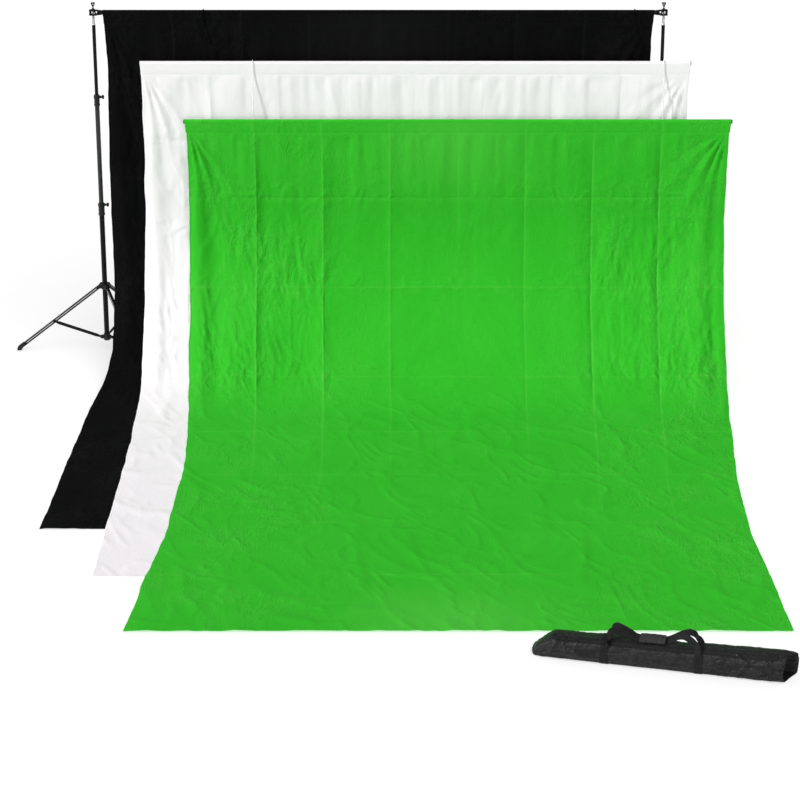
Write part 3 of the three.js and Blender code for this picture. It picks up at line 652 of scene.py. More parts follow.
        # socket for the leg's end: side cheeks and the part below the channel; the cap outline for the part above is
        # not built
        for y0, y1 in ((-11, -8.35), (8.35, 11)):
            b.slab(foot, y0, y1, [], m)
        core = [(477.4, 8.6), (478.6, 6), (481.2, 1.6), (484.6, 0), (501.4, 0), (503.6, 2.4), (503.6, 11), (501.6, 17), (496, 23), (490.6, 26.6)]
        b.slab(core, -8.6, 8.6, [], m)
        cap = [(466.5, 45.5), (498, 21), (492.0, 18.0), (463.4, 40.6)]
        for k in range(3):
            xx = 484.5 + k * 6.4
            b.slab([(xx, 2.2), (xx + 3.2, 2.2), (xx + 3.2, 12), (xx, 12)], 10.4, 11.5, [], m)
            b.slab([(xx, 2.2), (xx + 3.2, 2.2), (xx + 3.2, 12), (xx, 12)], -11.5, -10.4, [], m)
        b.object(f"foot_{i}_fine_{side}", RUBBER, f"leg_{i}_{side}_body", "foot_rubber", [f"foot_{i}_{side}"], 0.8, 2)


for _side in ("left", "right"):
    build_stand(_side)

# ------------------------------------------------------------------ crossbar, brackets, screws, poles, hooks
CROSS_R, CROSS_END, POLE_R = 12.5, 1477, 11
for i in range(4):
    a, b_ = -CROSS_END + CROSS_END * i / 2, -CROSS_END + CROSS_END * (i + 1) / 2 - GAP
    ri = CROSS_R - WALL
    prof = [(ri, a), (CROSS_R, a), (CROSS_R, b_), (11, b_), (11, b_ + 40), (9.8, b_ + 40), (9.8, b_ - 15), (ri, b_ - 15)] if i < 3 else [(ri, a), (CROSS_R, a), (CROSS_R, b_ + GAP), (ri, b_ + GAP)]
    b = Builder(); b.lathe(prof, 56, T(0, 0, BAR_Z) @ ALONG_X)
    b.object(f"crossbar_{i + 1}_fine", BLACK_PAINT, "upper", "black_paint", [f"crossbar_{i + 1}"], 0.3, 2)

for side, sx in (("left", 1), ("right", -1)):
    x0 = STAND_X[side]
    mir = np.diag([sx, 1, 1, 1.0])
    m = T(x0, 0, BAR_Z) @ mir
    w1 = [(-9, -5), (-6, -8.5), (8, -8.5), (10, -5), (3, 8), (-7, 8), (-9, 5)]
    w2 = [(14.5, -4.5), (18, -7), (22.5, 6), (20, 7.5), (11, 7.5)]
    w3 = [(24, -7), (34, -6.5), (36, -3), (35, 3.5), (31, 5), (28, 5.5)]
    out = [(-22, -11), (-20.6, -14), (-18, -16), (16, -16), (22, -13.5), (41, -12), (42.6, -10), (42.6, 10), (41, 11), (38, 11.5), (12, 14.5), (9.6, 15.7), (7, 16), (-18, 16), (-20.6, 14), (-22, 11), (-21.2, 7), (-20, 3), (-20, -3), (-21.2, -7)]
    b = Builder()
    b.slab(out, -9, 9, [w1, w2, w3], m)
    b.slab([(22.8, -8.2), (35, -7.8), (37.4, -3), (36.2, 4.4), (31.4, 6.4), (27.2, 6.4)], -1.2, 1.2, [], m)
    b.lathe([(0, 41), (11, 41), (11, 76.6), (9.8, 78), (0, 78)], 48, m @ ALONG_X)
    # eyes above and below where the stud and the screw pass, and a web rib
    b.lathe([(4.6, 14.6), (9.6, 14.6), (9.0, 16.2), (4.6, 16.2)], 40, m)
    b.lathe([(5.2, -16.2), (9.0, -16.2), (9.6, -14.6), (5.2, -14.6)], 40, m)
    b.object(f"bracket_{side}_fine", CASTING, "upper", "casting", [f"bracket_{side}"], 0.9, 3, 28)

    m = T(x0, 0, UP)
    b = Builder()
    prof = [(0, 1957.5), (3.4, 1957.5), (3.9, 1958.2)]
    z = 1960
    while z < 1977:
        prof += [(3.9, z), (3.5, z + 0.5), (3.9, z + 1.0)]
        z += 1.25
    prof += [(3.9, 1978.4), (7.4, 1978.4), (8, 1979), (8, 1980.5), (4.6, 1986.6), (3.3, 1987.5), (3, 1988.4), (3, 1993.5), (0, 1993.5)]
    b.lathe(prof, 40, m)
    wing = [(-3.5, 1992), (3.5, 1992), (4.2, 1995.6), (5.5, 1999), (8.2, 2003.4), (10.5, 2009), (10.5, 2013), (9.3, 2016.2), (7.2, 2018.1), (5, 2018.5), (2.6, 2016.6), (0, 2014.6)]
    wing = wing + [(-x, z_) for x, z_ in reversed(wing[2:-1])]
    b.slab(wing, -3.6, 3.6, [[(-2.1, 2004.5), (0, 2002.4), (2.1, 2004.5), (2.6, 2008.4), (0, 2010.6), (-2.6, 2008.4)]], m)
    b.object(f"bracket_screw_{side}_fine", PLASTIC, f"bracket_screw_{side}", "black_plastic", [f"bracket_screw_{side}"], 0.7, 3, 32)

HOOK_AT = {"white": (-934, 1366), "green": (-674, 1526)}
SHEETS = {   # pole axis x offset, y, z, pole radius, front edge y, floor level
    "black": (0, 0, BAR_Z, CROSS_R, -2400, 0),
    "white": tuple(), "green": tuple()}
for key, front, zb in (("white", -2850, 2.5), ("green", -3354, 5)):
    lo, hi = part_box(f"{key}_pole")
    c = (np.array(lo) + np.array(hi)) * 500 - WHERE
    SHEETS[key] = (c[0], c[1], c[2], POLE_R, front, zb)
for key, finish in (("white", POLE_STEEL), ("green", POLE_STEEL)):
    dx, y, z = SHEETS[key][:3]
    lo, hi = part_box(f"{key}_pole")
    half = (hi.x - lo.x) * 500
    b = Builder(); tube(b, POLE_R, dx - half, dx + half, T(0, y, z) @ ALONG_X, 48)
    b.object(f"{key}_pole_fine", BLACK_PAINT, "upper", "tube_steel", [f"{key}_pole"], 0.3, 2)


def catmull(pts, steps):
    """Centripetal Catmull-Rom through the points, evenly spaced."""
    P = np.asarray(pts, float)
    P = np.vstack([2 * P[0] - P[1], P, 2 * P[-1] - P[-2]])
    out = []
    for i in range(1, len(P) - 2):
        p0, p1, p2, p3 = P[i - 1:i + 3]
        t0 = 0; t1 = t0 + np.linalg.norm(p1 - p0) ** 0.5; t2 = t1 + np.linalg.norm(p2 - p1) ** 0.5; t3 = t2 + np.linalg.norm(p3 - p2) ** 0.5
        for t in np.linspace(t1, t2, 16, endpoint=False):
            a1 = (t1 - t) / (t1 - t0) * p0 + (t - t0) / (t1 - t0) * p1
            a2 = (t2 - t) / (t2 - t1) * p1 + (t - t1) / (t2 - t1) * p2
            a3 = (t3 - t) / (t3 - t2) * p2 + (t - t2) / (t3 - t2) * p3
            b1 = (t2 - t) / (t2 - t0) * a1 + (t - t0) / (t2 - t0) * a2
            b2 = (t3 - t) / (t3 - t1) * a2 + (t - t1) / (t3 - t1) * a3
            out.append((t2 - t) / (t2 - t1) * b1 + (t - t1) / (t2 - t1) * b2)
    out.append(P[-2])
    out = np.array(out)
    d = np.concatenate([[0], np.cumsum(np.linalg.norm(np.diff(out, axis=0), axis=1))])
    s = np.linspace(0, d[-1], steps)
    return np.stack([np.interp(s, d, out[:, k]) for k in range(3)], 1)


POCKET = 2.5
for name, key, up, i, mat in (("drop_hook_1", "white", "black", 0, HOOK_BLACK), ("drop_hook_2", "white", "black", 1, HOOK_BLACK),
                              ("drop_hook_3", "green", "white", 0, HOOK_PALE), ("drop_hook_4", "green", "white", 1, HOOK_PALE)):
    x = HOOK_AT[key][i]
    y0, z0, r0 = SHEETS[up][1], SHEETS[up][2], SHEETS[up][3] + POCKET
    y1, z1 = SHEETS[key][1], SHEETS[key][2]
    Rr = r0 + 1.3 + 2.2
    pts = [(x, y0 + Rr * math.cos(math.radians(a)), z0 + Rr * math.sin(math.radians(a))) for a in range(-30, 181, 30)]
    pts += [(x, y0 - Rr, z0 - 30), (x, y0 - Rr - 2, z0 - 60), (x, y1 + 2, z1 + 70), (x, y1, z1 + 45), (x, y1, z1 + 25), (x, y1, z1 + 5.5)]
    ring = [(2.2 * math.cos(2 * math.pi * j / 12), 2.2 * math.sin(2 * math.pi * j / 12)) for j in range(12)]
    b = Builder(); b.sweep(catmull(pts, 90), ring, up=(1, 0, 0))
    b.object(name + "_fine", mat, "upper", "zinc", [name], 0.0)


# ------------------------------------------------------------------ noise for cloth
class Perlin:
    def __init__(self, seed):
        r = np.random.RandomState(seed)
        self.p = np.concatenate([r.permutation(256)] * 3)
        a = r.rand(256) * 2 * math.pi
        self.g = np.stack([np.cos(a), np.sin(a)], 1)

    def __call__(self, x, y):
        xi, yi = np.floor(x).astype(int), np.floor(y).astype(int)
        xf, yf = x - xi, y - yi
        def corner(dx, dy):
            h = self.p[(self.p[(xi + dx) & 255] + yi + dy) & 255]
            g = self.g[h]
            return g[..., 0] * (xf - dx) + g[..., 1] * (yf - dy)
        f = lambda t: t * t * t * (t * (t * 6 - 15) + 10)
        u, v = f(xf), f(yf)
        a = corner(0, 0) * (1 - u) + corner(1, 0) * u
        b = corner(0, 1) * (1 - u) + corner(1, 1) * u
        return (a * (1 - v) + b * v) * 1.5


NOISE = [Perlin(101 + i) for i in range(24)]


def step(a, b, x):
    t = np.clip((x - a) / (b - a), 0, 1)
    return t * t * (3 - 2 * t)


def bump1(x, c, w):
    return np.exp(-((x - c) / w) ** 2)


def ridge(n, x, y, octaves=3, gain=0.5, lac=2.1, warp=0.35, soft=0.04):
    """Crumpled-paper ridges: sharp crests where the noise crosses zero. 0 to 1."""
    wx = NOISE[(n + 7) % 24](x * 0.7 + 3.1, y * 0.7 + 1.7) * warp
    wy = NOISE[(n + 11) % 24](x * 0.7 + 8.3, y * 0.7 + 5.2) * warp
    total, amp, top = 0, 1.0, 0
    for o in range(octaves):
        v = NOISE[(n + o) % 24]((x + wx) * lac ** o + 17.3 * o, (y + wy) * lac ** o + 9.1 * o)
        total = total + amp * (1 - np.sqrt(v * v + soft * soft) * 1.6)
        top += amp
        amp *= gain
    return np.clip(total / top, 0, 1)


def kink(x, c, wl, wr):
    """A fold line: a crest at c that runs off gently on one side and quickly on the other."""
    d = x - c
    return np.where(d < 0, np.exp(-np.abs(d) / wl), np.exp(-np.abs(d) / wr))


# floor relief, shared by all three layers so that they nest
def floor_relief(x, y):
    broad = NOISE[20](x * 1.1 + 4.0, y * 0.8 + 2.0) * 0.5 + 0.5
    a = x * 0.88 + y * 0.47; b = -x * 0.47 + y * 0.88
    ax = np.abs(x - 0.45)
    folds = ridge(14, ax * 2.2 - y * 0.8, y * 1.9 + ax * 0.7, 2, 0.45, 2.0, 0.5, 0.05) ** 2
    ripples = ridge(4, a * 5.2, b * 2.6, 2, 0.5, 2.0, 0.6, 0.03) ** 2
    return 0.0018 * broad + 0.0082 * np.clip(folds - 0.35, 0, 1) + 0.0056 * np.clip(ripples - 0.35, 0, 1)


SWEEP = 882.0
FLAT_HALF = 1.525
PITCH = 0.381


def muslin_sheet(key, material, seed, hw_table, strength, du, ds, shift=((0, 0), (4.3, 0))):
    dx, y0, z0, pr, front, zb = SHEETS[key]
    front += {"black": 78, "white": 0, "green": -42}[key]
    rho = pr + 1.5
    yd = y0 - rho                              # the drop's plane
    zf = zb + 1.7                              # the floor run's plane
    R_ = SWEEP
    drop = z0 - (zf + R_)
    run = -(front) + yd - R_
    # ---- the path in (y, z): pocket's back, over the pole, drop, sweep, floor; arc length 0 at the pole's front
    stitch = 58.0
    p0 = np.array([yd + 2.3, z0 - stitch])
    v = p0 - np.array([y0, z0]); dist = np.linalg.norm(v); base = math.atan2(v[1], v[0]); off = math.acos(rho / dist)
    a_t = base + off                            # tangent point on the pole's back
    a_t = (a_t + math.pi) % (2 * math.pi) - math.pi
    tan = np.array([y0 + rho * math.cos(a_t), z0 + rho * math.sin(a_t)])
    path = [p0 + (tan - p0) * t for t in np.linspace(0, 1, 10)[:-1]]
    n_arc = 18
    path += [np.array([y0 + rho * math.cos(a), z0 + rho * math.sin(a)]) for a in np.linspace(a_t, math.pi, n_arc)]
    path = np.array(path)
    seg = np.linalg.norm(np.diff(path, axis=0), axis=1)
    pocket_s = np.concatenate([[0], np.cumsum(seg)]); pocket_len = pocket_s[-1]
    s_pocket = (pocket_s - pocket_len) / 1000
    total = (drop + R_ * math.pi / 2 + run) / 1000
    # ---- where the rows and columns stand
    fold_s = [0.43, 0.925, 1.47, 2.03, 2.57, 3.13, 3.70]
    rows = list(np.arange(ds[0], 2.35, ds[0])) + list(np.arange(2.35, total - 0.004, ds[1]))
    for c in fold_s:
        rows = [r for r in rows if abs(r - c) > 0.011] + [c + e for e in (-0.009, -0.0045, -0.0015, 0.0015, 0.0045, 0.009)]
    rows += [0.002, 0.0045, stitch / 1000 - 0.003, stitch / 1000, stitch / 1000 + 0.003, total - 0.022, total - 0.0185, total - 0.015, total]
    rows = np.array(sorted(r for r in rows if 0 < r <= total))
    rows = rows[np.concatenate([[True], np.diff(rows) > 0.0009])]
    if rows[-1] < total: rows = np.append(rows, total)
    S = np.concatenate([s_pocket, rows])
    cols = list(np.arange(-FLAT_HALF + 0.03, FLAT_HALF - 0.03, du))
    for k in range(-3, 4):
        cols = [c for c in cols if abs(c - k * PITCH) > 0.011] + [k * PITCH + e for e in (-0.009, -0.0045, -0.0015, 0.0015, 0.0045, 0.009)]
    for sgn in (-1, 1):
        cols += [sgn * (FLAT_HALF - e) for e in (0.0, 0.004, 0.010, 0.0145, 0.0175, 0.022)]
    cols = np.array(sorted(c for c in cols if abs(c) <= FLAT_HALF))
    cols = cols[np.concatenate([[True], np.diff(cols) > 0.0009])]
    U, SS = np.meshgrid(cols, S)
    # ---- base profile
    Y = np.zeros(len(S)); Z = np.zeros(len(S)); NY = np.zeros(len(S)); NZ = np.zeros(len(S)); turned = np.zeros(len(S))
    npk = len(s_pocket)
    for i in range(npk):
        Y[i], Z[i] = path[i]
    tang = np.gradient(path, axis=0); tang /= np.linalg.norm(tang, axis=1)[:, None]
    NY[:npk], NZ[:npk] = tang[:, 1], -tang[:, 0]
    flip = (NY[:npk] * (path[:, 0] - y0) + NZ[:npk] * (path[:, 1] - z0)) < 0
    NY[:npk][flip] *= -1; NZ[:npk][flip] *= -1
    for i in range(npk, len(S)):
        s = S[i] * 1000
        if s < drop:
            Y[i], Z[i], NY[i], NZ[i] = yd, z0 - s, -1, 0
        elif s < drop + R_ * math.pi / 2:
            a = (s - drop) / R_
            Y[i], Z[i] = yd - R_ + R_ * math.cos(a), zf + R_ - R_ * math.sin(a)
            NY[i], NZ[i] = -math.cos(a), math.sin(a)
            turned[i] = a / (math.pi / 2)
        else:
            Y[i], Z[i] = yd - R_ - (s - drop - R_ * math.pi / 2), zf
            NY[i], NZ[i], turned[i] = 0, 1, 1
    Y, Z = Y / 1000, Z / 1000
    # a hung cloth's sweep leaves the wall a little above the round curve's start
    hs, hv = zip(*hw_table)
    hw = np.interp(S, hs, hv)
    k5 = np.ones(9) / 9
    hw_s = np.convolve(np.pad(hw, 4, mode="edge"), k5, "valid")
    hw = np.where(S > 0.02, hw_s, hw)
    X0 = dx / 1000 + np.interp(S, *zip(*shift))[:, None]      # the cloth walks sideways a little on the floor
    A = np.abs(U)
    sm = lambda n, fx, fs: NOISE[(seed + n) % 24](A * fx + 2.3 * n, SS * fs + 5.1 * n)
    un = lambda n, fx, fs: NOISE[(seed + n + 5) % 24](U * fx + 7.7 * n, SS * fs + 1.9 * n)
    turn_ = np.broadcast_to(turned[:, None], U.shape)
    below = step(0.0, 0.10, SS - stitch / 1000)        # wakes up under the pocket line
    hang = 1 - step(0.55, 0.95, turn_)                  # dies away on to the floor
    d = np.zeros_like(U)
    crest = np.zeros_like(U)
    hand = -np.tanh(U / 0.03)     # folded in half before it was rolled, so a crest on one side is a valley on the other
    # fold lines down the cloth, mirrored about the middle: strongest at the third panel
    wander = 0.004 * un(1, 0.5, 1.3)
    for k, amp, wo, wi in ((3, 0.0125, 0.080, 0.022), (2, 0.0068, 0.046, 0.018), (1, 0.0036, 0.030, 0.016), (0, -0.0024, 0.014, 0.014)):
        m = 0.95 + 0.40 * sm(2 + k, 0.01, 1.7)
        kk = kink(-A + wander, -k * PITCH, wo, wi) if k else kink(A, 0.0, wo, wo)
        fade = (1 - step(0.35, 0.9, SS)) if k == 0 else (1 - 0.55 * step(1.9, 2.6, SS)) * (1 - 0.6 * step(2.7, 3.3, SS))
        grow = 0.25 + 0.75 * step(0.0, 0.26, SS - stitch / 1000)
        line = amp * kk * np.clip(m, 0.6, 1.3) * fade * grow * step(-0.01, 0.03, SS - stitch / 1000 + 0.05)
        d += line * strength["lines"] * (hand if k else 1)
        crest += 0.7 * min(1.0, np.abs(amp) / 0.0060) * np.exp(-(np.abs(A - wander - k * PITCH - 0.004) / 0.005) ** 2) * np.clip(m, 0.2, 1.0) * fade * (SS > 0)
    # fold lines across
    for j, c in enumerate(fold_s):
        amp = (0.0034, 0.0028, 0.0022, 0.0018, 0.0018, 0.0020, 0.0030)[j] * (1 if j % 2 else -1)
        lump = np.clip(0.6 + 0.9 * sm(9 + j, 2.1, 0.01), 0.0, 1.3)
        wob = SS - c + 0.0025 * un(3 + j, 2.4, 0.01)
        d += amp * np.exp(-np.abs(wob) / 0.016) * lump * strength["lines"]
        crest += 0.45 * lump * np.exp(-(np.abs(wob) / 0.0045) ** 2)
    # a second, partial line low on the right of the first one
    part = step(0.95, 1.05, U) * (1 - step(1.42, 1.5, U))
    d += 0.0018 * np.exp(-np.abs(SS - 0.535) / 0.012) * part * strength["lines"]
    # crow's feet where the fold lines cross
    near_cross = sum(bump1(SS, c - 0.03, 0.075) for c in fold_s[:4])
    feet = ridge(seed, A * 10.5, SS * 8.0, 2, 0.55, 2.1, 0.9, 0.03)
    d += 0.0105 * np.clip(feet - 0.58, 0, 1) * near_cross * (0.40 + 0.60 * step(0.1, 0.9, A)) * hang * strength["small"]
    # gathers under the pocket line
    g1 = sm(14, 17.0, 0.9) * np.exp(-np.clip(SS - 0.058, 0, 9) / 0.30) * step(0, 0.05, SS - 0.058)
    g2 = sm(15, 34.0, 3.0) * np.exp(-np.clip(SS - 0.058, 0, 9) / 0.10) * step(0, 0.02, SS - 0.058)
    d += (0.0052 * g1 + 0.0024 * g2) * strength["gather"] * hand
    band = step(0.004, 0.02, SS) * (1 - step(0.045, 0.058, SS))
    d += 0.0007 * sm(16, 22, 6) * band
    d -= 0.0011 * bump1(SS, stitch / 1000, 0.0032)
    # soft long vertical folds in the hanging part
    v1 = sm(17, 5.2, 0.55)
    v2 = sm(18, 11.0, 0.9)
    side = step(0.35, 1.15, A)
    d += (0.0060 * v1 * (0.3 + 0.7 * side) + 0.0034 * v2 * (0.25 + 0.75 * side)) * below * hang * strength["soft"] * hand
    # the deep valley and ridge beside each selvage
    env = step(0.07, 0.45, SS) * (1 - step(1.35, 2.2, SS))
    cen = 1.380 + 0.012 * np.sin(SS * 2.3 + 0.6) - 0.06 * np.exp(-SS / 0.25)
    d += (-0.0080 * bump1(A, cen, 0.048) + 0.0070 * bump1(A, cen + 0.082, 0.036) + 0.0032 * bump1(A, cen - 0.10, 0.05)) * env * strength["edge"] * hand
    # pulls fanning from the top corners
    cx_, cs_ = FLAT_HALF - 0.015, 0.045
    ang = np.arctan2(cx_ - A, np.maximum(SS - cs_, 1e-4))
    dist_ = np.hypot(cx_ - A, SS - cs_)
    fade = np.exp(-dist_ / 0.34) * step(0.02, 0.12, dist_)
    fan = 0
    for a_, w_, h_ in ((0.09, 0.045, 0.9), (0.21, 0.055, -1.0), (0.33, 0.05, 1.1), (0.47, 0.06, -0.8), (0.62, 0.07, 0.7), (0.82, 0.08, -0.45), (1.02, 0.09, 0.35)):
        fan = fan + h_ * np.exp(-np.abs((ang - a_ - 0.05 * np.sin(dist_ * 9)) / (0.8 * w_)))
    d += 0.0165 * fan * fade * strength["fan"] * hand
    # the crushed strips toward both sides: long diamond creases
    zone = step(0.55, 1.0, A) * (1 - 0.75 * step(1.42, 1.5, A))
    depth_ = (step(0.30, 0.75, SS) * (1 - step(1.75, 2.3, SS)))
    c1 = ridge(seed + 3, A * 8.2 + 0.30 * un(12, 1.2, 0.8), SS * 2.5, 3, 0.58, 2.05, 0.75, 0.018)
    c2 = ridge(seed + 9, A * 13.5 + SS * 1.2, SS * 4.6, 2, 0.5, 2.2, 0.8, 0.025)
    pocket_mask = np.clip(0.55 + 1.3 * sm(20, 3.1, 1.6), 0.08, 1.15)
    d += (0.0150 * (c1 - 0.55) * pocket_mask * hand + 0.0095 * np.clip(c2 - 0.5, 0, 1)) * zone * depth_ * hang * strength["crush"]
    # crinkled patch near both selvages low on the drop
    patch = bump1(SS, 1.42, 0.30) * step(1.02, 1.2, A) * (1 - step(1.44, 1.52, A))
    c3 = ridge(seed + 5, A * 15, SS * 9, 2, 0.6, 2.0, 0.9, 0.025)
    d += 0.0110 * np.clip(c3 - 0.45, 0, 1) * patch * strength["crush"]
    # quiet relief everywhere
    quiet = ridge(seed + 1, A * 3.2, SS * 1.9, 3, 0.5, 2.2, 0.5, 0.06)
    d += 0.0052 * (quiet - 0.55) * below * hang * strength["soft"]
    # slack waves as the cloth turns on to the floor
    wv = step(0.25, 0.6, turn_) * (1 - step(0.8, 0.97, turn_))
    sl = NOISE[(seed + 13) % 24]((A * 0.9 + SS * 1.1) * 2.0, (SS * 0.8 - A * 0.7) * 2.6)
    d += 0.0105 * sl * wv * strength["slack"]
    fx_world = (U / FLAT_HALF) * hw[:, None] + X0
    fy_world = np.broadcast_to(Y[:, None], U.shape)
    on_floor = step(0.62, 0.93, turn_)
    fl = floor_relief(fx_world, fy_world)
    low = 1 - step(0.72, 0.95, turn_)
    d = d * np.maximum(low, 0.10 * (1 - step(0.95, 1.0, turn_))) + fl * on_floor
    d = np.where(turn_ >= 1, fl + 0.00035 * np.clip(crest, 0, 1), d)
    # keep the wrap round the pole clean, and clear of the hooks
    d = np.where(SS <= 0.0, 0.0004 * np.sin(U * 60 + SS * 40) * (SS > -0.02), d)
    d *= step(-0.001, 0.02, SS) * (SS > 0) + (SS <= 0)
    for hx in HOOK_AT.get({"black": "white", "white": "green"}.get(key, ""), ()):
        uh = (hx - dx) / 1460 * FLAT_HALF
        d *= 1 - 0.85 * bump1(U, uh, 0.05) * (1 - step(0.05, 0.18, SS))
    # edge outline: small scallops, and the selvage rolling slightly back on the drop
    wav = 0.0045 * NOISE[(seed + 2) % 24](SS * 5.0, np.sign(U) * 3.3 + 0 * SS) + 0.002 * NOISE[(seed + 4) % 24](SS * 15.0, np.sign(U) * 7.3 + 0 * SS)
    X = fx_world + wav * step(1.30, FLAT_HALF, A) * np.sign(U) * step(0.02, 0.2, SS)
    roll = step(FLAT_HALF - 0.055, FLAT_HALF, A) ** 2 * step(0.1, 0.5, SS) * (1 - step(1.2, 2.1, SS))
    d = d - 0.008 * roll * strength["edge"]
    YY = Y[:, None] + NY[:, None] * d
    ZZ = Z[:, None] + NZ[:, None] * d
    YY = np.broadcast_to(YY, U.shape).copy(); ZZ = np.broadcast_to(ZZ, U.shape).copy(); X = X.copy()
    ny = np.broadcast_to(NY[:, None], U.shape); nz = np.broadcast_to(NZ[:, None], U.shape)
    # painted highlight: lighter tint on the fold crests, the sharpest crush and crow's-feet ridges, and two broad
    # patches high and low in the middle
    wear_and_highlight = np.clip(crest, 0, 1) * 0.42 + np.clip((c1 - 0.80) * 4.0, 0, 1) * zone * depth_ * 0.34 + np.clip((c3 - 0.82) * 4.0, 0, 1) * patch * 0.3
    wear_and_highlight += np.clip((feet - 0.84) * 5.0, 0, 1) * near_cross * hang * 0.30
    wear_and_highlight += 0.30 * np.exp(-(U / 0.42) ** 2 - ((SS - 0.12) / 0.26) ** 2) + 0.32 * np.exp(-(U / 0.42) ** 2 - ((SS - total + 0.10) / 0.28) ** 2)
    wear_and_highlight = np.where(SS <= 0, 0.0, wear_and_highlight)

    # ---- hems: the cloth turns back under itself along both sides and the front
    def turned_edge(edge, inward, inner_rows):
        """extra strips: [over the fold, 2 mm inward, 16 mm inward], lying 1.2 mm behind"""
        return [(edge[0] + inward[0] * e, edge[1] + inward[1] * e, edge[2] - o) for e, o in inner_rows]

    nr, nc = U.shape
    V = np.stack([X + WHERE[0] / 1000, YY + WHERE[1] / 1000, ZZ], -1)
    N3 = np.stack([np.zeros_like(ny), ny, nz], -1)
    flat = np.stack([U, SS, np.zeros_like(U)], -1)
    off_rows = ((0.0006, 0.0004), (0.0005, 0.0010), (0.0, 0.0013))

    def side_cols(j_edge, j_in):
        cols_ = []
        for out_, back in off_rows:
            cols_.append((V[:, j_edge] - N3[:, j_edge] * back + np.array([np.sign(U[0, j_edge]) * out_, 0, 0]), flat[:, j_edge]))
        cols_.append((V[:, j_in] - N3[:, j_in] * 0.0013, flat[:, j_in]))
        return cols_

    j_in_l = int(np.argmin(np.abs(cols - (-FLAT_HALF + 0.0175)))); j_in_r = int(np.argmin(np.abs(cols - (FLAT_HALF - 0.0175))))
    left = side_cols(0, j_in_l); right = side_cols(nc - 1, j_in_r)
    ordered_v = [c[0] for c in reversed(left)] + [V[:, j] for j in range(nc)] + [c[0] for c in right]
    ordered_f = [c[1] for c in reversed(left)] + [flat[:, j] for j in range(nc)] + [c[1] for c in right]
    wr = [np.zeros(nr)] * len(left) + [wear_and_highlight[:, j] for j in range(nc)] + [np.zeros(nr)] * len(right)
    V = np.stack(ordered_v, 1); flat = np.stack(ordered_f, 1); wear_and_highlight = np.stack(wr, 1)
    N3 = np.concatenate([np.repeat(N3[:, :1], len(left), 1), N3, np.repeat(N3[:, -1:], len(right), 1)], 1)
    i_in = int(np.argmin(np.abs(S - (total - 0.0185))))
    extra_v, extra_f = [], []
    nhem = len(left)
    inner_lift = np.zeros(V.shape[1]); inner_lift[:nhem] = 0.0; inner_lift[-nhem:] = 0.0
    for out_, back in off_rows:
        extra_v.append(V[-1] - N3[-1] * back * 0.75 + np.array([0, -out_, 0])); extra_f.append(flat[-1])
    extra_v.append(V[i_in] - N3[i_in] * 0.0010); extra_f.append(flat[i_in])
    V = np.concatenate([V, np.stack(extra_v)], 0); flat = np.concatenate([flat, np.stack(extra_f)], 0)
    wear_and_highlight = np.concatenate([wear_and_highlight, np.zeros((len(extra_v), V.shape[1]))], 0)
    V[..., 2] = np.maximum(V[..., 2], (zb + 0.15) / 1000)
    nr, nc = V.shape[:2]
    idx = np.arange(nr * nc).reshape(nr, nc)
    q = np.stack([idx[:-1, :-1], idx[1:, :-1], idx[1:, 1:], idx[:-1, 1:]], -1).reshape(-1, 4)
    me = bpy.data.meshes.new(f"{key}_muslin_cloth")
    me.vertices.add(nr * nc); me.vertices.foreach_set("co", V.reshape(-1).astype(np.float32))
    me.loops.add(len(q) * 4); me.loops.foreach_set("vertex_index", q.reshape(-1).astype(np.int32))
    me.polygons.add(len(q)); me.polygons.foreach_set("loop_start", np.arange(0, len(q) * 4, 4, dtype=np.int32))
    me.polygons.foreach_set("use_smooth", np.ones(len(q), bool))
    me.update(calc_edges=True)
    at = me.attributes.new("flat", "FLOAT_VECTOR", "POINT"); at.data.foreach_set("vector", flat.reshape(-1).astype(np.float32))
    at = me.attributes.new("wear_and_highlight", "FLOAT", "POINT"); at.data.foreach_set("value", wear_and_highlight.reshape(-1).astype(np.float32))
    me.materials.append(material)
    o = bpy.data.objects.new(f"{key}_muslin_cloth", me)
    scene.collection.objects.link(o)
    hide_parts(f"{key}_muslin")
    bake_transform(o)
    print(f"{key}: {nr}x{nc}, length {total:.3f}+{pocket_len / 1000:.3f}")
    return o


GREEN = (lin(34, 176, 26), lin(112, 210, 88), lin(26, 160, 22))
WHITE = ((0.90, 0.86, 0.895), (0.95, 0.92, 0.945), (0.83, 0.79, 0.83))
BLACKC = ((0.0006, 0.0006, 0.0007), (0.016, 0.016, 0.0165), (0.0012, 0.0012, 0.0013))
hw_black = [(-0.14, 1.462), (-0.05, 1.469), (0.0, 1.469), (0.06, 1.463), (0.16, 1.457), (0.3, 1.456), (0.62, 1.462), (0.9, 1.474), (1.14, 1.480), (1.41, 1.488), (1.68, 1.490), (1.98, 1.495), (2.16, 1.500), (2.39, 1.508), (2.7, 1.512), (3.01, 1.518), (3.3, 1.522), (3.58, 1.525), (3.84, 1.527)]
shift_black = [(0.0, 0.0), (0.6, 0.002), (0.9, 0.008), (1.14, 0.016), (1.41, 0.030), (1.68, 0.040), (1.90, 0.040), (2.05, 0.028), (2.20, 0.006), (2.39, -0.024), (2.7, -0.043), (3.01, -0.057), (3.3, -0.072), (3.58, -0.087), (3.84, -0.104), (3.95, -0.108)]
hw_white = [(-0.135, 1.467), (-0.05, 1.472), (0.0, 1.472), (0.06, 1.467), (0.14, 1.464), (0.6, 1.465), (1.0, 1.474), (1.4, 1.478), (2.0, 1.474), (2.6, 1.478), (3.1, 1.490), (3.6, 1.508), (4.08, 1.522)]
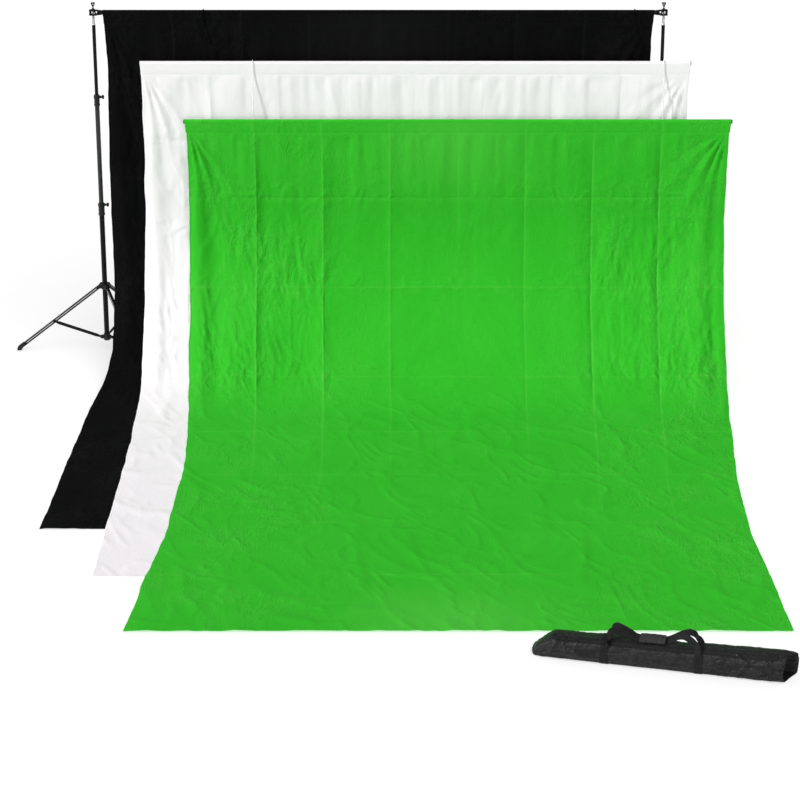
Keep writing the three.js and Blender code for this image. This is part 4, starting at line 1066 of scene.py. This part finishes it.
hw_green = [(-0.135, 1.460), (-0.05, 1.470), (0.0, 1.470), (0.06, 1.4600), (0.4, 1.4555), (0.8, 1.457), (1.23, 1.457), (1.38, 1.452), (1.53, 1.445), (1.73, 1.4335), (2.03, 1.42), (2.33, 1.405), (2.63, 1.396), (2.92, 1.405), (3.19, 1.409), (3.46, 1.432), (3.72, 1.464), (3.97, 1.4805), (4.25, 1.508)]
shift_green = [(0.0, 0.0), (1.9, 0.0), (2.33, -0.003), (2.83, -0.021), (3.5, -0.033), (4.25, -0.047)]
full = dict(lines=1.0, small=1.0, gather=1.0, soft=1.0, edge=1.0, fan=1.0, crush=1.0, slack=1.0)
pale = dict(lines=0.55, small=0.8, gather=1.1, soft=1.0, edge=0.7, fan=0.8, crush=0.75, slack=0.8)
dark = dict(lines=0.8, small=0.9, gather=1.0, soft=1.0, edge=0.8, fan=0.9, crush=0.8, slack=0.8)

m_black = muslin("muslin_black_finish", BLACKC[0], BLACKC[1], BLACKC[2], (0.008, 0.008, 0.008), FLAT_HALF, 3.870, 0.004, 0.058, 0.05, 0.80, 1.0)
m_white = muslin("muslin_white_finish", WHITE[0], WHITE[1], WHITE[2], lin(250, 250, 250), FLAT_HALF, 4.078, 0.05, 0.058, crisp=0.12)
m_green = muslin("muslin_green_finish", GREEN[0], GREEN[1], GREEN[2], lin(60, 200, 50), FLAT_HALF, 4.290, 0.03, 0.058, 0.15)
Q = 1.0
muslin_sheet("black", m_black, 3, hw_black, dark, 0.0115 * Q, (0.0115 * Q, 0.015 * Q), shift_black)
muslin_sheet("white", m_white, 8, hw_white, pale, 0.0110 * Q, (0.0110 * Q, 0.014 * Q))
muslin_sheet("green", m_green, 0, hw_green, full, 0.0080 * Q, (0.0080 * Q, 0.0095 * Q), shift_green)

# ------------------------------------------------------------------ carry bag
BAG_FROM, BAG_TO = (717, -3565), (1843, -3827)
_lo, _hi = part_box("bag_body")
BAG_LEN = math.hypot(BAG_TO[0] - BAG_FROM[0], BAG_TO[1] - BAG_FROM[1])
BAG_M = T(BAG_FROM[0], BAG_FROM[1], 0) @ R("z", math.degrees(math.atan2(BAG_TO[1] - BAG_FROM[1], BAG_TO[0] - BAG_FROM[0])))
STATIONS = np.array([(0, 48, 30), (10, 55, 42), (36, 60, 66), (74, 63, 97), (86, 64, 104), (120, 64, 105), (360, 66, 108), (700, 66, 112), (980, 66, 119), (1100, 65, 122), (1156, 62, 119)], float)
SECTION = [(-.72, 0), (.72, 0), (.95, .14), (1.01, .42), (.93, .70), (.70, .90), (.34, .99), (0, 1.0), (-.34, .99), (-.70, .90), (-.93, .70), (-1.01, .42), (-.95, .14)]


def closed_curve(points, n):
    P = np.array(points, float); k = len(P); out = []
    for i in range(k):
        p0, p1, p2, p3 = P[(i - 1) % k], P[i], P[(i + 1) % k], P[(i + 2) % k]
        for t in np.linspace(0, 1, 12, endpoint=False):
            out.append(0.5 * ((2 * p1) + (-p0 + p2) * t + (2 * p0 - 5 * p1 + 4 * p2 - p3) * t * t + (-p0 + 3 * p1 - 3 * p2 + p3) * t ** 3))
    out = np.array(out + [out[0]])
    d = np.concatenate([[0], np.cumsum(np.linalg.norm(np.diff(out, axis=0) * (66, 110), axis=1))])
    s = np.linspace(0, d[-1], n, endpoint=False)
    return np.stack([np.interp(s, d, out[:, 0]), np.interp(s, d, out[:, 1])], 1), s


NT = 132
RING, RING_S = closed_curve(SECTION, NT)
RING[:, 1] = np.maximum(RING[:, 1], 0)
BANDS = (317.0, 733.0)


def bag_shape(S, J):
    """Outer surface of the bag at stations S for ring places J (fractions of the ring), in millimetres."""
    w = np.interp(S, STATIONS[:, 0], STATIONS[:, 1]); h = np.interp(S, STATIONS[:, 0], STATIONS[:, 2])
    rx = np.interp(J * NT, np.arange(NT + 1), np.append(RING[:, 0], RING[0, 0]))
    rz = np.interp(J * NT, np.arange(NT + 1), np.append(RING[:, 1], RING[0, 1]))
    g = 2 * math.pi * J
    yy, zz = w * rx, h * rz
    # outward direction of the section
    e = 0.004
    ax = np.interp((J + e) % 1 * NT, np.arange(NT + 1), np.append(RING[:, 0], RING[0, 0])) - np.interp((J - e) % 1 * NT, np.arange(NT + 1), np.append(RING[:, 0], RING[0, 0]))
    az = np.interp((J + e) % 1 * NT, np.arange(NT + 1), np.append(RING[:, 1], RING[0, 1])) - np.interp((J - e) % 1 * NT, np.arange(NT + 1), np.append(RING[:, 1], RING[0, 1]))
    ax, az = ax * 66, az * 110
    L = np.hypot(ax, az) + 1e-9
    ny, nz = az / L, -ax / L
    s = S / 1000.0
    c = rx; up = rz
    n = lambda i, a, b: NOISE[i](s * a + 3.1 * i, (rz * 1.0 + 0.35 * rx) * b + 1.7 * i)
    top = step(0.45, 0.95, up)
    front = step(0.15, 0.5, -rx)
    d = 3.2 * n(1, 5.5, 1.3) * (0.35 + 0.65 * top) + 2.0 * n(2, 13, 2.2)
    r1 = ridge(3, s * 10 + up * 1.1, up * 2.3 - s * 4.0, 3, 0.55, 2.1, 0.6, 0.03)
    r2 = ridge(9, s * 22 - up * 1.5, up * 3.2 + s * 6.0, 2, 0.55, 2.0, 0.7, 0.05)
    right = step(0.74, 0.86, s)
    left = 1 - step(0.10, 0.26, s)
    d += 11.0 * (r1 - 0.6) * (0.30 + 0.70 * right + 0.40 * left) + 6.5 * np.clip(r2 - 0.5, 0, 1) * (0.30 + 0.9 * right + 0.5 * left)
    # the upper edge where the front panel meets the top: a soft crest along the whole bag
    crest_z = 0.80 + 0.05 * NOISE[5](s * 6, 0 * s)
    edge = np.exp(-((up - crest_z) / 0.07) ** 2) * front
    d += 3.2 * edge * (0.6 + 0.6 * n(6, 9, 0.5))
    # a long dent under it where the cloth hangs on what is inside
    d -= 4.0 * np.exp(-((up - 0.56 - 0.05 * np.sin(s * 17)) / 0.13) ** 2) * front * (0.5 + 0.8 * n(7, 4.5, 0.4))
    # dents across the top
    d -= 5.5 * top * np.exp(-(((s * 1000 - 232) / 34) ** 2)) * (0.5 + 0.5 * np.cos(rx * 2.0))
    d -= 4.2 * top * np.exp(-(((s * 1000 - 655) / 40) ** 2))
    d -= 5.0 * top * np.exp(-(((s * 1000 - 868) / 30) ** 2))
    # Y-shaped creases behind the nose
    for a0, k_ in ((0.085, 0.55), (0.145, -0.35), (0.185, 0.25)):
        line = s - a0 - k_ * 0.11 * (up - 0.5)
        d += 5.5 * np.exp(-np.abs(line) / 0.009) * front * step(0.12, 0.3, up) * (1 - step(0.86, 0.97, up))
    # pulled in under the webbing bands, with little pleats radiating from them
    for b in BANDS:
        q = (S - b) / 30.0
        d -= 2.6 * np.exp(-q * q) * (0.4 + 0.6 * top)
        pleat = np.sin(g * 19 + 1.3 * n(8, 6, 1)) * np.exp(-np.abs(S - b) / 46.0) * step(17, 30, np.abs(S - b))
        d += 1.6 * pleat * step(0.2, 0.5, up)
    # gathered mouth at the right end
    tail = step(1080, 1150, S)
    d += tail * (3.6 * np.sin(g * 9 + 0.8) + 2.4 * np.sin(g * 17 + 2.0))
    d += 1.0 * n(10, 60, 9)
    floor_side = step(0.0, 0.10, up)
    d = np.clip(d, -11, 7.5)
    crown = step(0.72, 0.92, up)
    d = d * (1 - 0.72 * crown * step(700, 800, S))
    d = d * (0.10 + 0.90 * floor_side)
    d = np.where(up < 0.02, np.minimum(d, 0.0) * 0, d)
    slant = step(1010, 1156, S) * 27.0 * (1 - rx)
    # painted highlight: lighter tint on the sharpest crease crests and along the front panel's upper crest
    wear_and_highlight = np.clip((r1 - 0.80) * 3.5, 0, 1) * 0.4 + 0.45 * edge * np.clip(n(11, 30, 3) + 0.5, 0, 1)
    return np.stack([S - slant, yy + ny * d, np.maximum(zz + nz * d, 0.3 + 0 * zz)], -1), np.stack([0 * ny, ny, nz], -1), wear_and_highlight


def grid_object(name, V, flat, wear_and_highlight, material, body, replaces, wrap=True, caps=()):
    """Rows of closed rings (millimetres) to one object; caps fans the first and the last ring shut."""
    nr, nc = V.shape[:2]
    idx = np.arange(nr * nc).reshape(nr, nc)
    nx = np.roll(idx, -1, 1)
    q = np.stack([idx[:-1], idx[1:], nx[1:], nx[:-1]], -1).reshape(-1, 4).tolist()
    verts = V.reshape(-1, 3) @ BAG_M[:3, :3].T + BAG_M[:3, 3] + WHERE
    fl, wr = flat.reshape(-1, 3), wear_and_highlight.reshape(-1)
    for ring, at in caps:
        c = verts[ring].mean(0) + BAG_M[:3, :3] @ np.array(at, float)
        verts = np.vstack([verts, c]); fl = np.vstack([fl, fl[ring].mean(0)]); wr = np.append(wr, 0)
        k = len(verts) - 1
        q += [(int(ring[i]), int(ring[(i + 1) % len(ring)]), k) for i in range(len(ring))]
    me = bpy.data.meshes.new(name)
    me.from_pydata((verts * 0.001).tolist(), [], q)
    bm = bmesh.new(); bm.from_mesh(me)
    bmesh.ops.recalc_face_normals(bm, faces=list(bm.faces))
    bm.to_mesh(me); bm.free()
    at = me.attributes.new("flat", "FLOAT_VECTOR", "POINT"); at.data.foreach_set("vector", (fl * 0.001).reshape(-1).astype(np.float32))
    at = me.attributes.new("wear_and_highlight", "FLOAT", "POINT"); at.data.foreach_set("value", wr.astype(np.float32))
    me.shade_smooth()
    me.materials.append(material)
    o = bpy.data.objects.new(name, me)
    scene.collection.objects.link(o)
    if replaces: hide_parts(*replaces)
    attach(o, body)
    return o


BAG_CLOTH = woven("bag_cloth_finish", (0.0066, 0.0066, 0.0068), (0.050, 0.050, 0.051), 0.0012, 0.38, 0.00012, sheen=0.005)
WEBBING = woven("webbing_finish", (0.0050, 0.0050, 0.0052), (0.020, 0.020, 0.021), 0.0016, 0.62, 0.0003, sheen=0.02, rib=True)
GRIP = woven("grip_finish", (0.015, 0.015, 0.0155), (0.045, 0.045, 0.045), 0.0014, 0.6, 0.0002, sheen=0.03)

_s = np.unique(np.concatenate([np.linspace(0, 1156, 420), np.array([b + e for b in BANDS for e in (-19, 19)])]))
_j = np.arange(NT) / NT
SG, JG = np.meshgrid(_s, _j, indexing="ij")
V, Nn, wr = bag_shape(SG, JG)
# nose: rings closing toward a low slanted tip; mouth: pushed in with folds
rings_v, rings_w, rings_s = [V], [wr], [_s]
c0 = V[0].mean(0); c1 = V[-1].mean(0)
nose = []
for f, back in ((0.90, 4.0), (0.72, 8.5), (0.48, 11.5), (0.24, 12.5)):
    r_ = c0 + (V[0] - c0) * f
    r_[:, 0] = V[0][:, 0] - back - 1.5 * np.sin(JG[0] * 2 * math.pi * 7) * (1 - f)
    r_[:, 2] = np.maximum(r_[:, 2], 0.3)
    nose.append(r_)
mouth = []
for f, fwd in ((0.985, 3.0), (0.955, 2.5), (0.93, -3.0), (0.90, -26.0), (0.84, -62.0), (0.45, -84.0)):
    fold = 1 + 0.05 * np.sin(JG[0] * 2 * math.pi * 5 + 0.5) * min(1.0, (1 - f) * 9)
    r_ = c1 + (V[-1] - c1) * (f * fold)[:, None]
    r_[:, 0] = V[-1][:, 0] + fwd + 5.0 * np.sin(JG[0] * 2 * math.pi * 5 + 1.4) * min(1.0, (1 - f) * 7)
    r_[:, 2] = np.maximum(r_[:, 2], 0.3)
    mouth.append(r_)
Vb = np.concatenate([np.stack(nose[::-1]), V, np.stack(mouth)], 0)
srow = np.concatenate([[-46, -34, -20, -8], _s, [1164, 1176, 1194, 1216, 1240, 1256]])
flat = np.stack(np.broadcast_arrays(srow[:, None], RING_S[None, :], np.zeros((1, 1))), -1)
wrb = np.concatenate([np.zeros((4, NT)), wr, np.zeros((6, NT))], 0)
nrow = Vb.shape[0]
first = list(range(NT)); last = [(nrow - 1) * NT + i for i in range(NT)]
bag = grid_object("bag_body_cloth", Vb, flat, wrb, BAG_CLOTH, "root", ["bag_body"], caps=((first, (-0.3, 0, 0)), (last, (-1, 0, 0))))


def on_bag(s, j, lift):
    """One place on the bag's surface, lifted off it."""
    v, n, _ = bag_shape(np.array([[float(s)]]), np.array([[j % 1.0]]))
    return v[0, 0] + n[0, 0] * lift


def strip_object(name, centre, across, half, thick, material, replaces=(), closed=False, crown=0.0, n_across=9, grooves=None, body="root"):
    """A tape along centre points, half wide to each side in the direction 'across', thick along the normal."""
    C = np.asarray(centre, float); Wd = np.asarray(across, float)
    k = len(C)
    Tn = np.roll(C, -1, 0) - np.roll(C, 1, 0) if closed else np.gradient(C, axis=0)
    Tn /= np.linalg.norm(Tn, axis=1)[:, None]
    Wd = Wd - Tn * np.sum(Wd * Tn, 1)[:, None]; Wd /= np.linalg.norm(Wd, axis=1)[:, None]
    Nm = np.cross(Tn, Wd)
    d = np.concatenate([[0], np.cumsum(np.linalg.norm(np.diff(C, axis=0), axis=1))])
    a = np.linspace(-1, 1, n_across)
    prof = [(x * half, thick / 2 + crown * (1 - x * x) + (grooves(x) if grooves else 0)) for x in a]
    prof = [(-half * 1.0, 0.0)] + prof + [(half * 1.0, 0.0)] + [(x * half, -thick / 2) for x in a[::-1]]
    m = len(prof)
    V = np.stack([C + Wd * px + Nm * pz for px, pz in prof], 1)
    fl = np.stack([np.broadcast_to(d[:, None], (k, m)), np.broadcast_to(np.array([p[0] for p in prof])[None], (k, m)), np.zeros((k, m))], -1)
    # the tape is tinted lighter along its two edges and a little everywhere else
    edge = np.array([1.0 if abs(abs(p[0]) - half) < 1e-6 else 0.15 for p in prof])
    wr = np.broadcast_to(edge[None] * 0.5, (k, m)).copy()
    caps = ()
    if closed:
        V = np.concatenate([V, V[:1]], 0); fl = np.concatenate([fl, fl[:1]], 0); wr = np.concatenate([wr, wr[:1]], 0)
    else:
        caps = ((list(range(m)), (0, 0, 0)), ([(k - 1) * m + i for i in range(m)], (0, 0, 0)))
    return grid_object(name, V, fl, wr, material, body, replaces, caps=caps)


# webbing bands round the bag
for i, b in enumerate(BANDS):
    js = np.arange(150) / 150
    c = []
    for j in js:
        p = on_bag(b, j, 1.3); c.append((p[0] + 1.5 * math.sin(j * 12.6), p[1], max(p[2], 1.2)))
    strip_object(f"bag_band_{i + 1}", c, [(1, 0, 0)] * len(c), 19, 2.0, WEBBING, closed=True, grooves=lambda x: -0.35 if abs(abs(x) - 0.75) < 0.13 else 0)

# zip: tape, coil and pull, high on the front; the section's crest on that side
_front = [i for i in range(NT) if RING[i, 0] < -0.3]
J_ZIP = min(_front, key=lambda i: abs(RING[i, 1] - 0.90)) / NT
zs = np.linspace(96, 1112, 260)
zip_c = np.array([on_bag(s, J_ZIP + 0.004 * math.sin(s / 70), 0.9) for s in zs])
zip_n = np.array([on_bag(s, J_ZIP + 0.004 * math.sin(s / 70) + 0.01, 0.9) for s in zs]) - zip_c
strip_object("bag_zip_tape", zip_c, zip_n, 13, 1.3, WEBBING, grooves=lambda x: -0.3 if abs(x) < 0.3 else 0.15)
coil = zip_c + np.array([0, -0.35, 0.75])
tooth = 1 + 0.0 * zs
b_ = Builder()
zc = np.array([on_bag(s, J_ZIP + 0.004 * math.sin(s / 70), 2.1) for s in np.linspace(98, 1110, 700)])
rad_ = 1.5 + 0.45 * np.sin(np.linspace(0, 700 * math.pi * 0.9, 700))
ringv = []
tz = np.gradient(zc, axis=0); tz /= np.linalg.norm(tz, axis=1)[:, None]
sd = np.array([0, 0.6, 0.8]); vv = []
for i in range(len(zc)):
    s1 = sd - tz[i] * (sd @ tz[i]); s1 /= np.linalg.norm(s1); w1 = np.cross(tz[i], s1)
    vv += [tuple(zc[i] + rad_[i] * (s1 * math.cos(a) + w1 * math.sin(a))) for a in np.linspace(0, 2 * math.pi, 8, endpoint=False)]
ff = [(i * 8 + j, i * 8 + (j + 1) % 8, (i + 1) * 8 + (j + 1) % 8, (i + 1) * 8 + j) for i in range(len(zc) - 1) for j in range(8)]
ff += [tuple(reversed(range(8))), tuple(range((len(zc) - 1) * 8, len(zc) * 8))]
b_.add(vv, ff, BAG_M).object("bag_zip_coil", PLASTIC, "root", "black_plastic")
# slider with its cord pull, parked three quarters of the way along
pz = on_bag(905, J_ZIP, 3.0)
b_ = Builder()
b_.slab([(-9, -4.2), (7, -4.2), (9, -2), (9, 2), (7, 4.2), (-9, 4.2)], -1.6, 1.6, [], BAG_M @ T(*pz) @ R("x", 52))
b_.object("bag_zip_slider", ZINC, "root", "zinc", (), 0.7, 2)
pull = catmull([pz + np.array(v) for v in ((-6, -1.5, 2.5), (2, -4, 3.5), (12, -8, -3), (24, -11, -9.5), (38, -12.5, -14))], 24)
strip_object("bag_zip_pull", pull, [(0, 0.8, 0.6)] * 24, 4.5, 2.2, WEBBING, crown=0.5)

# two carry straps, front and back, sewn under the bands and caught together in the grip
def top_z(s):
    return float(np.interp(s, STATIONS[:, 0], STATIONS[:, 2]))


def strap(name, side, peak1, peak2, lean, replaces=()):
    y = lambda v: side * v
    g0, g1 = 462, 580
    z_ = lambda s, h: top_z(s) + h
    pts = [(318, y(64), 62), (322, y(60), 88), (330, y(47), z_(330, 1) - 2), (335, y(36), z_(335, 24)), (peak1, y(25 + lean), z_(peak1, 43)), (peak1 + 26, y(19 + lean), z_(peak1, 40)),
           (peak1 + 70, y(13), z_(420, 22)), (g0 - 18, y(9), z_(g0, 11)), (g0, y(7), z_(g0, 7.5)), (530, y(6), z_(530, 6.5)), (g1, y(7), z_(g1, 8)),
           (g1 + 22, y(9), z_(g1, 16)), (peak2 - 32, y(15 + lean), z_(peak2, 38)), (peak2, y(22 + lean), z_(peak2, 46)), (peak2 + 26, y(29), z_(peak2, 36)),
           (716, y(38), z_(716, 14)), (726, y(48), z_(726, 0)), (731, y(60), 90), (733, y(64), 64)]
    c = catmull(pts, 170)
    wdt = np.array([(0.12, 1.0, 0.0)] * 170, float)
    u = np.linspace(0, 1, 170)
    lie = np.exp(-((u - 0.5) / 0.16) ** 2)
    tip = np.radians(side * 14 - 52) * (1 - lie) + np.radians(-30) * lie
    wdt = np.stack([1.6 * np.exp(-(u / 0.06) ** 2) + 1.6 * np.exp(-((1 - u) / 0.06) ** 2) + 0.05, np.cos(tip), -np.sin(tip)], 1)
    return strip_object(name, c, wdt, 15, 2.2, WEBBING, replaces, grooves=lambda x: -0.3 if abs(abs(x) - 0.72) < 0.14 else 0)


strap("bag_strap_front", -1, 346, 664, 0, ["bag_handles"])
strap("bag_strap_back", 1, 354, 680, 2)

# padded wrap that holds the two straps together
gl, gn = 46, 64
gs = np.linspace(466, 582, gl)
ga = np.linspace(0, 2 * math.pi, gn, endpoint=False)
rows_, frows = [], []
for i, s in enumerate(gs):
    e = min(1.0, min(i, gl - 1 - i) / 2.5 + 0.72)
    wrk = 0.9 * NOISE[12](s * 0.05 + ga * 0, np.cos(ga) * 2) + 0.7 * NOISE[13](s * 0.12 + 0 * ga, np.sin(ga) * 3)
    ry, rz_ = (25.5 * e + wrk), (7.4 * e + 0.6 * wrk)
    seam = 1.4 * np.exp(-((ga - 1.57) / 0.16) ** 2)
    cy = np.sign(np.cos(ga)) * np.abs(np.cos(ga)) ** 0.72 * ry
    cz = np.sign(np.sin(ga)) * np.abs(np.sin(ga)) ** 0.72 * (rz_ + seam)
    ct, st = math.cos(math.radians(-27)), math.sin(math.radians(-27))
    rows_.append(np.stack([np.full(gn, s) + 1.2 * np.sin(ga * 2), -10 + cy * ct + cz * st, top_z(s) + 13.0 - cy * st + cz * ct + 1.6 * math.cos((s - 530) / 38)], 1))
    frows.append(np.stack([np.full(gn, s), ga * 12, np.zeros(gn)], 1))
Vg = np.stack(rows_); fg = np.stack(frows)
# the wrap is tinted lighter along its top, round the seam
grip = grid_object("bag_grip_wrap", Vg, fg, np.broadcast_to((np.sin(ga) > 0.6) * 0.5, (gl, gn)).copy().astype(float), GRIP, "root", ["bag_grip"],
                   caps=((list(range(gn)), (-1.2, 0, 0)), ([(gl - 1) * gn + i for i in range(gn)], (1.2, 0, 0))))

# ------------------------------------------------------------------ floor
me = bpy.data.meshes.new("studio_floor")
me.from_pydata([(-60, -60, -0.0006), (60, -60, -0.0006), (60, 60, -0.0006), (-60, 60, -0.0006)], [], [(0, 1, 2, 3)])
floor = bpy.data.objects.new("studio_floor", me)
scene.collection.objects.link(floor)
kf = Mat("floor_finish", Roughness=0.9, Specular_IOR_Level=0.1, Emission_Color=(1, 1, 1), Emission_Strength=0.54)
kf.out(kf.ramp(kf.noise(kf.coords(), 0.6, 2), [(0.3, (0.90, 0.90, 0.90)), (0.7, (0.92, 0.92, 0.92))]))
me.materials.append(kf.m)

lit = bpy.data.collections.new("key_receivers")
for o in scene.objects:
    if o.type == "MESH" and o is not floor:
        lit.objects.link(o)
key_light.light_linking.receiver_collection = lit
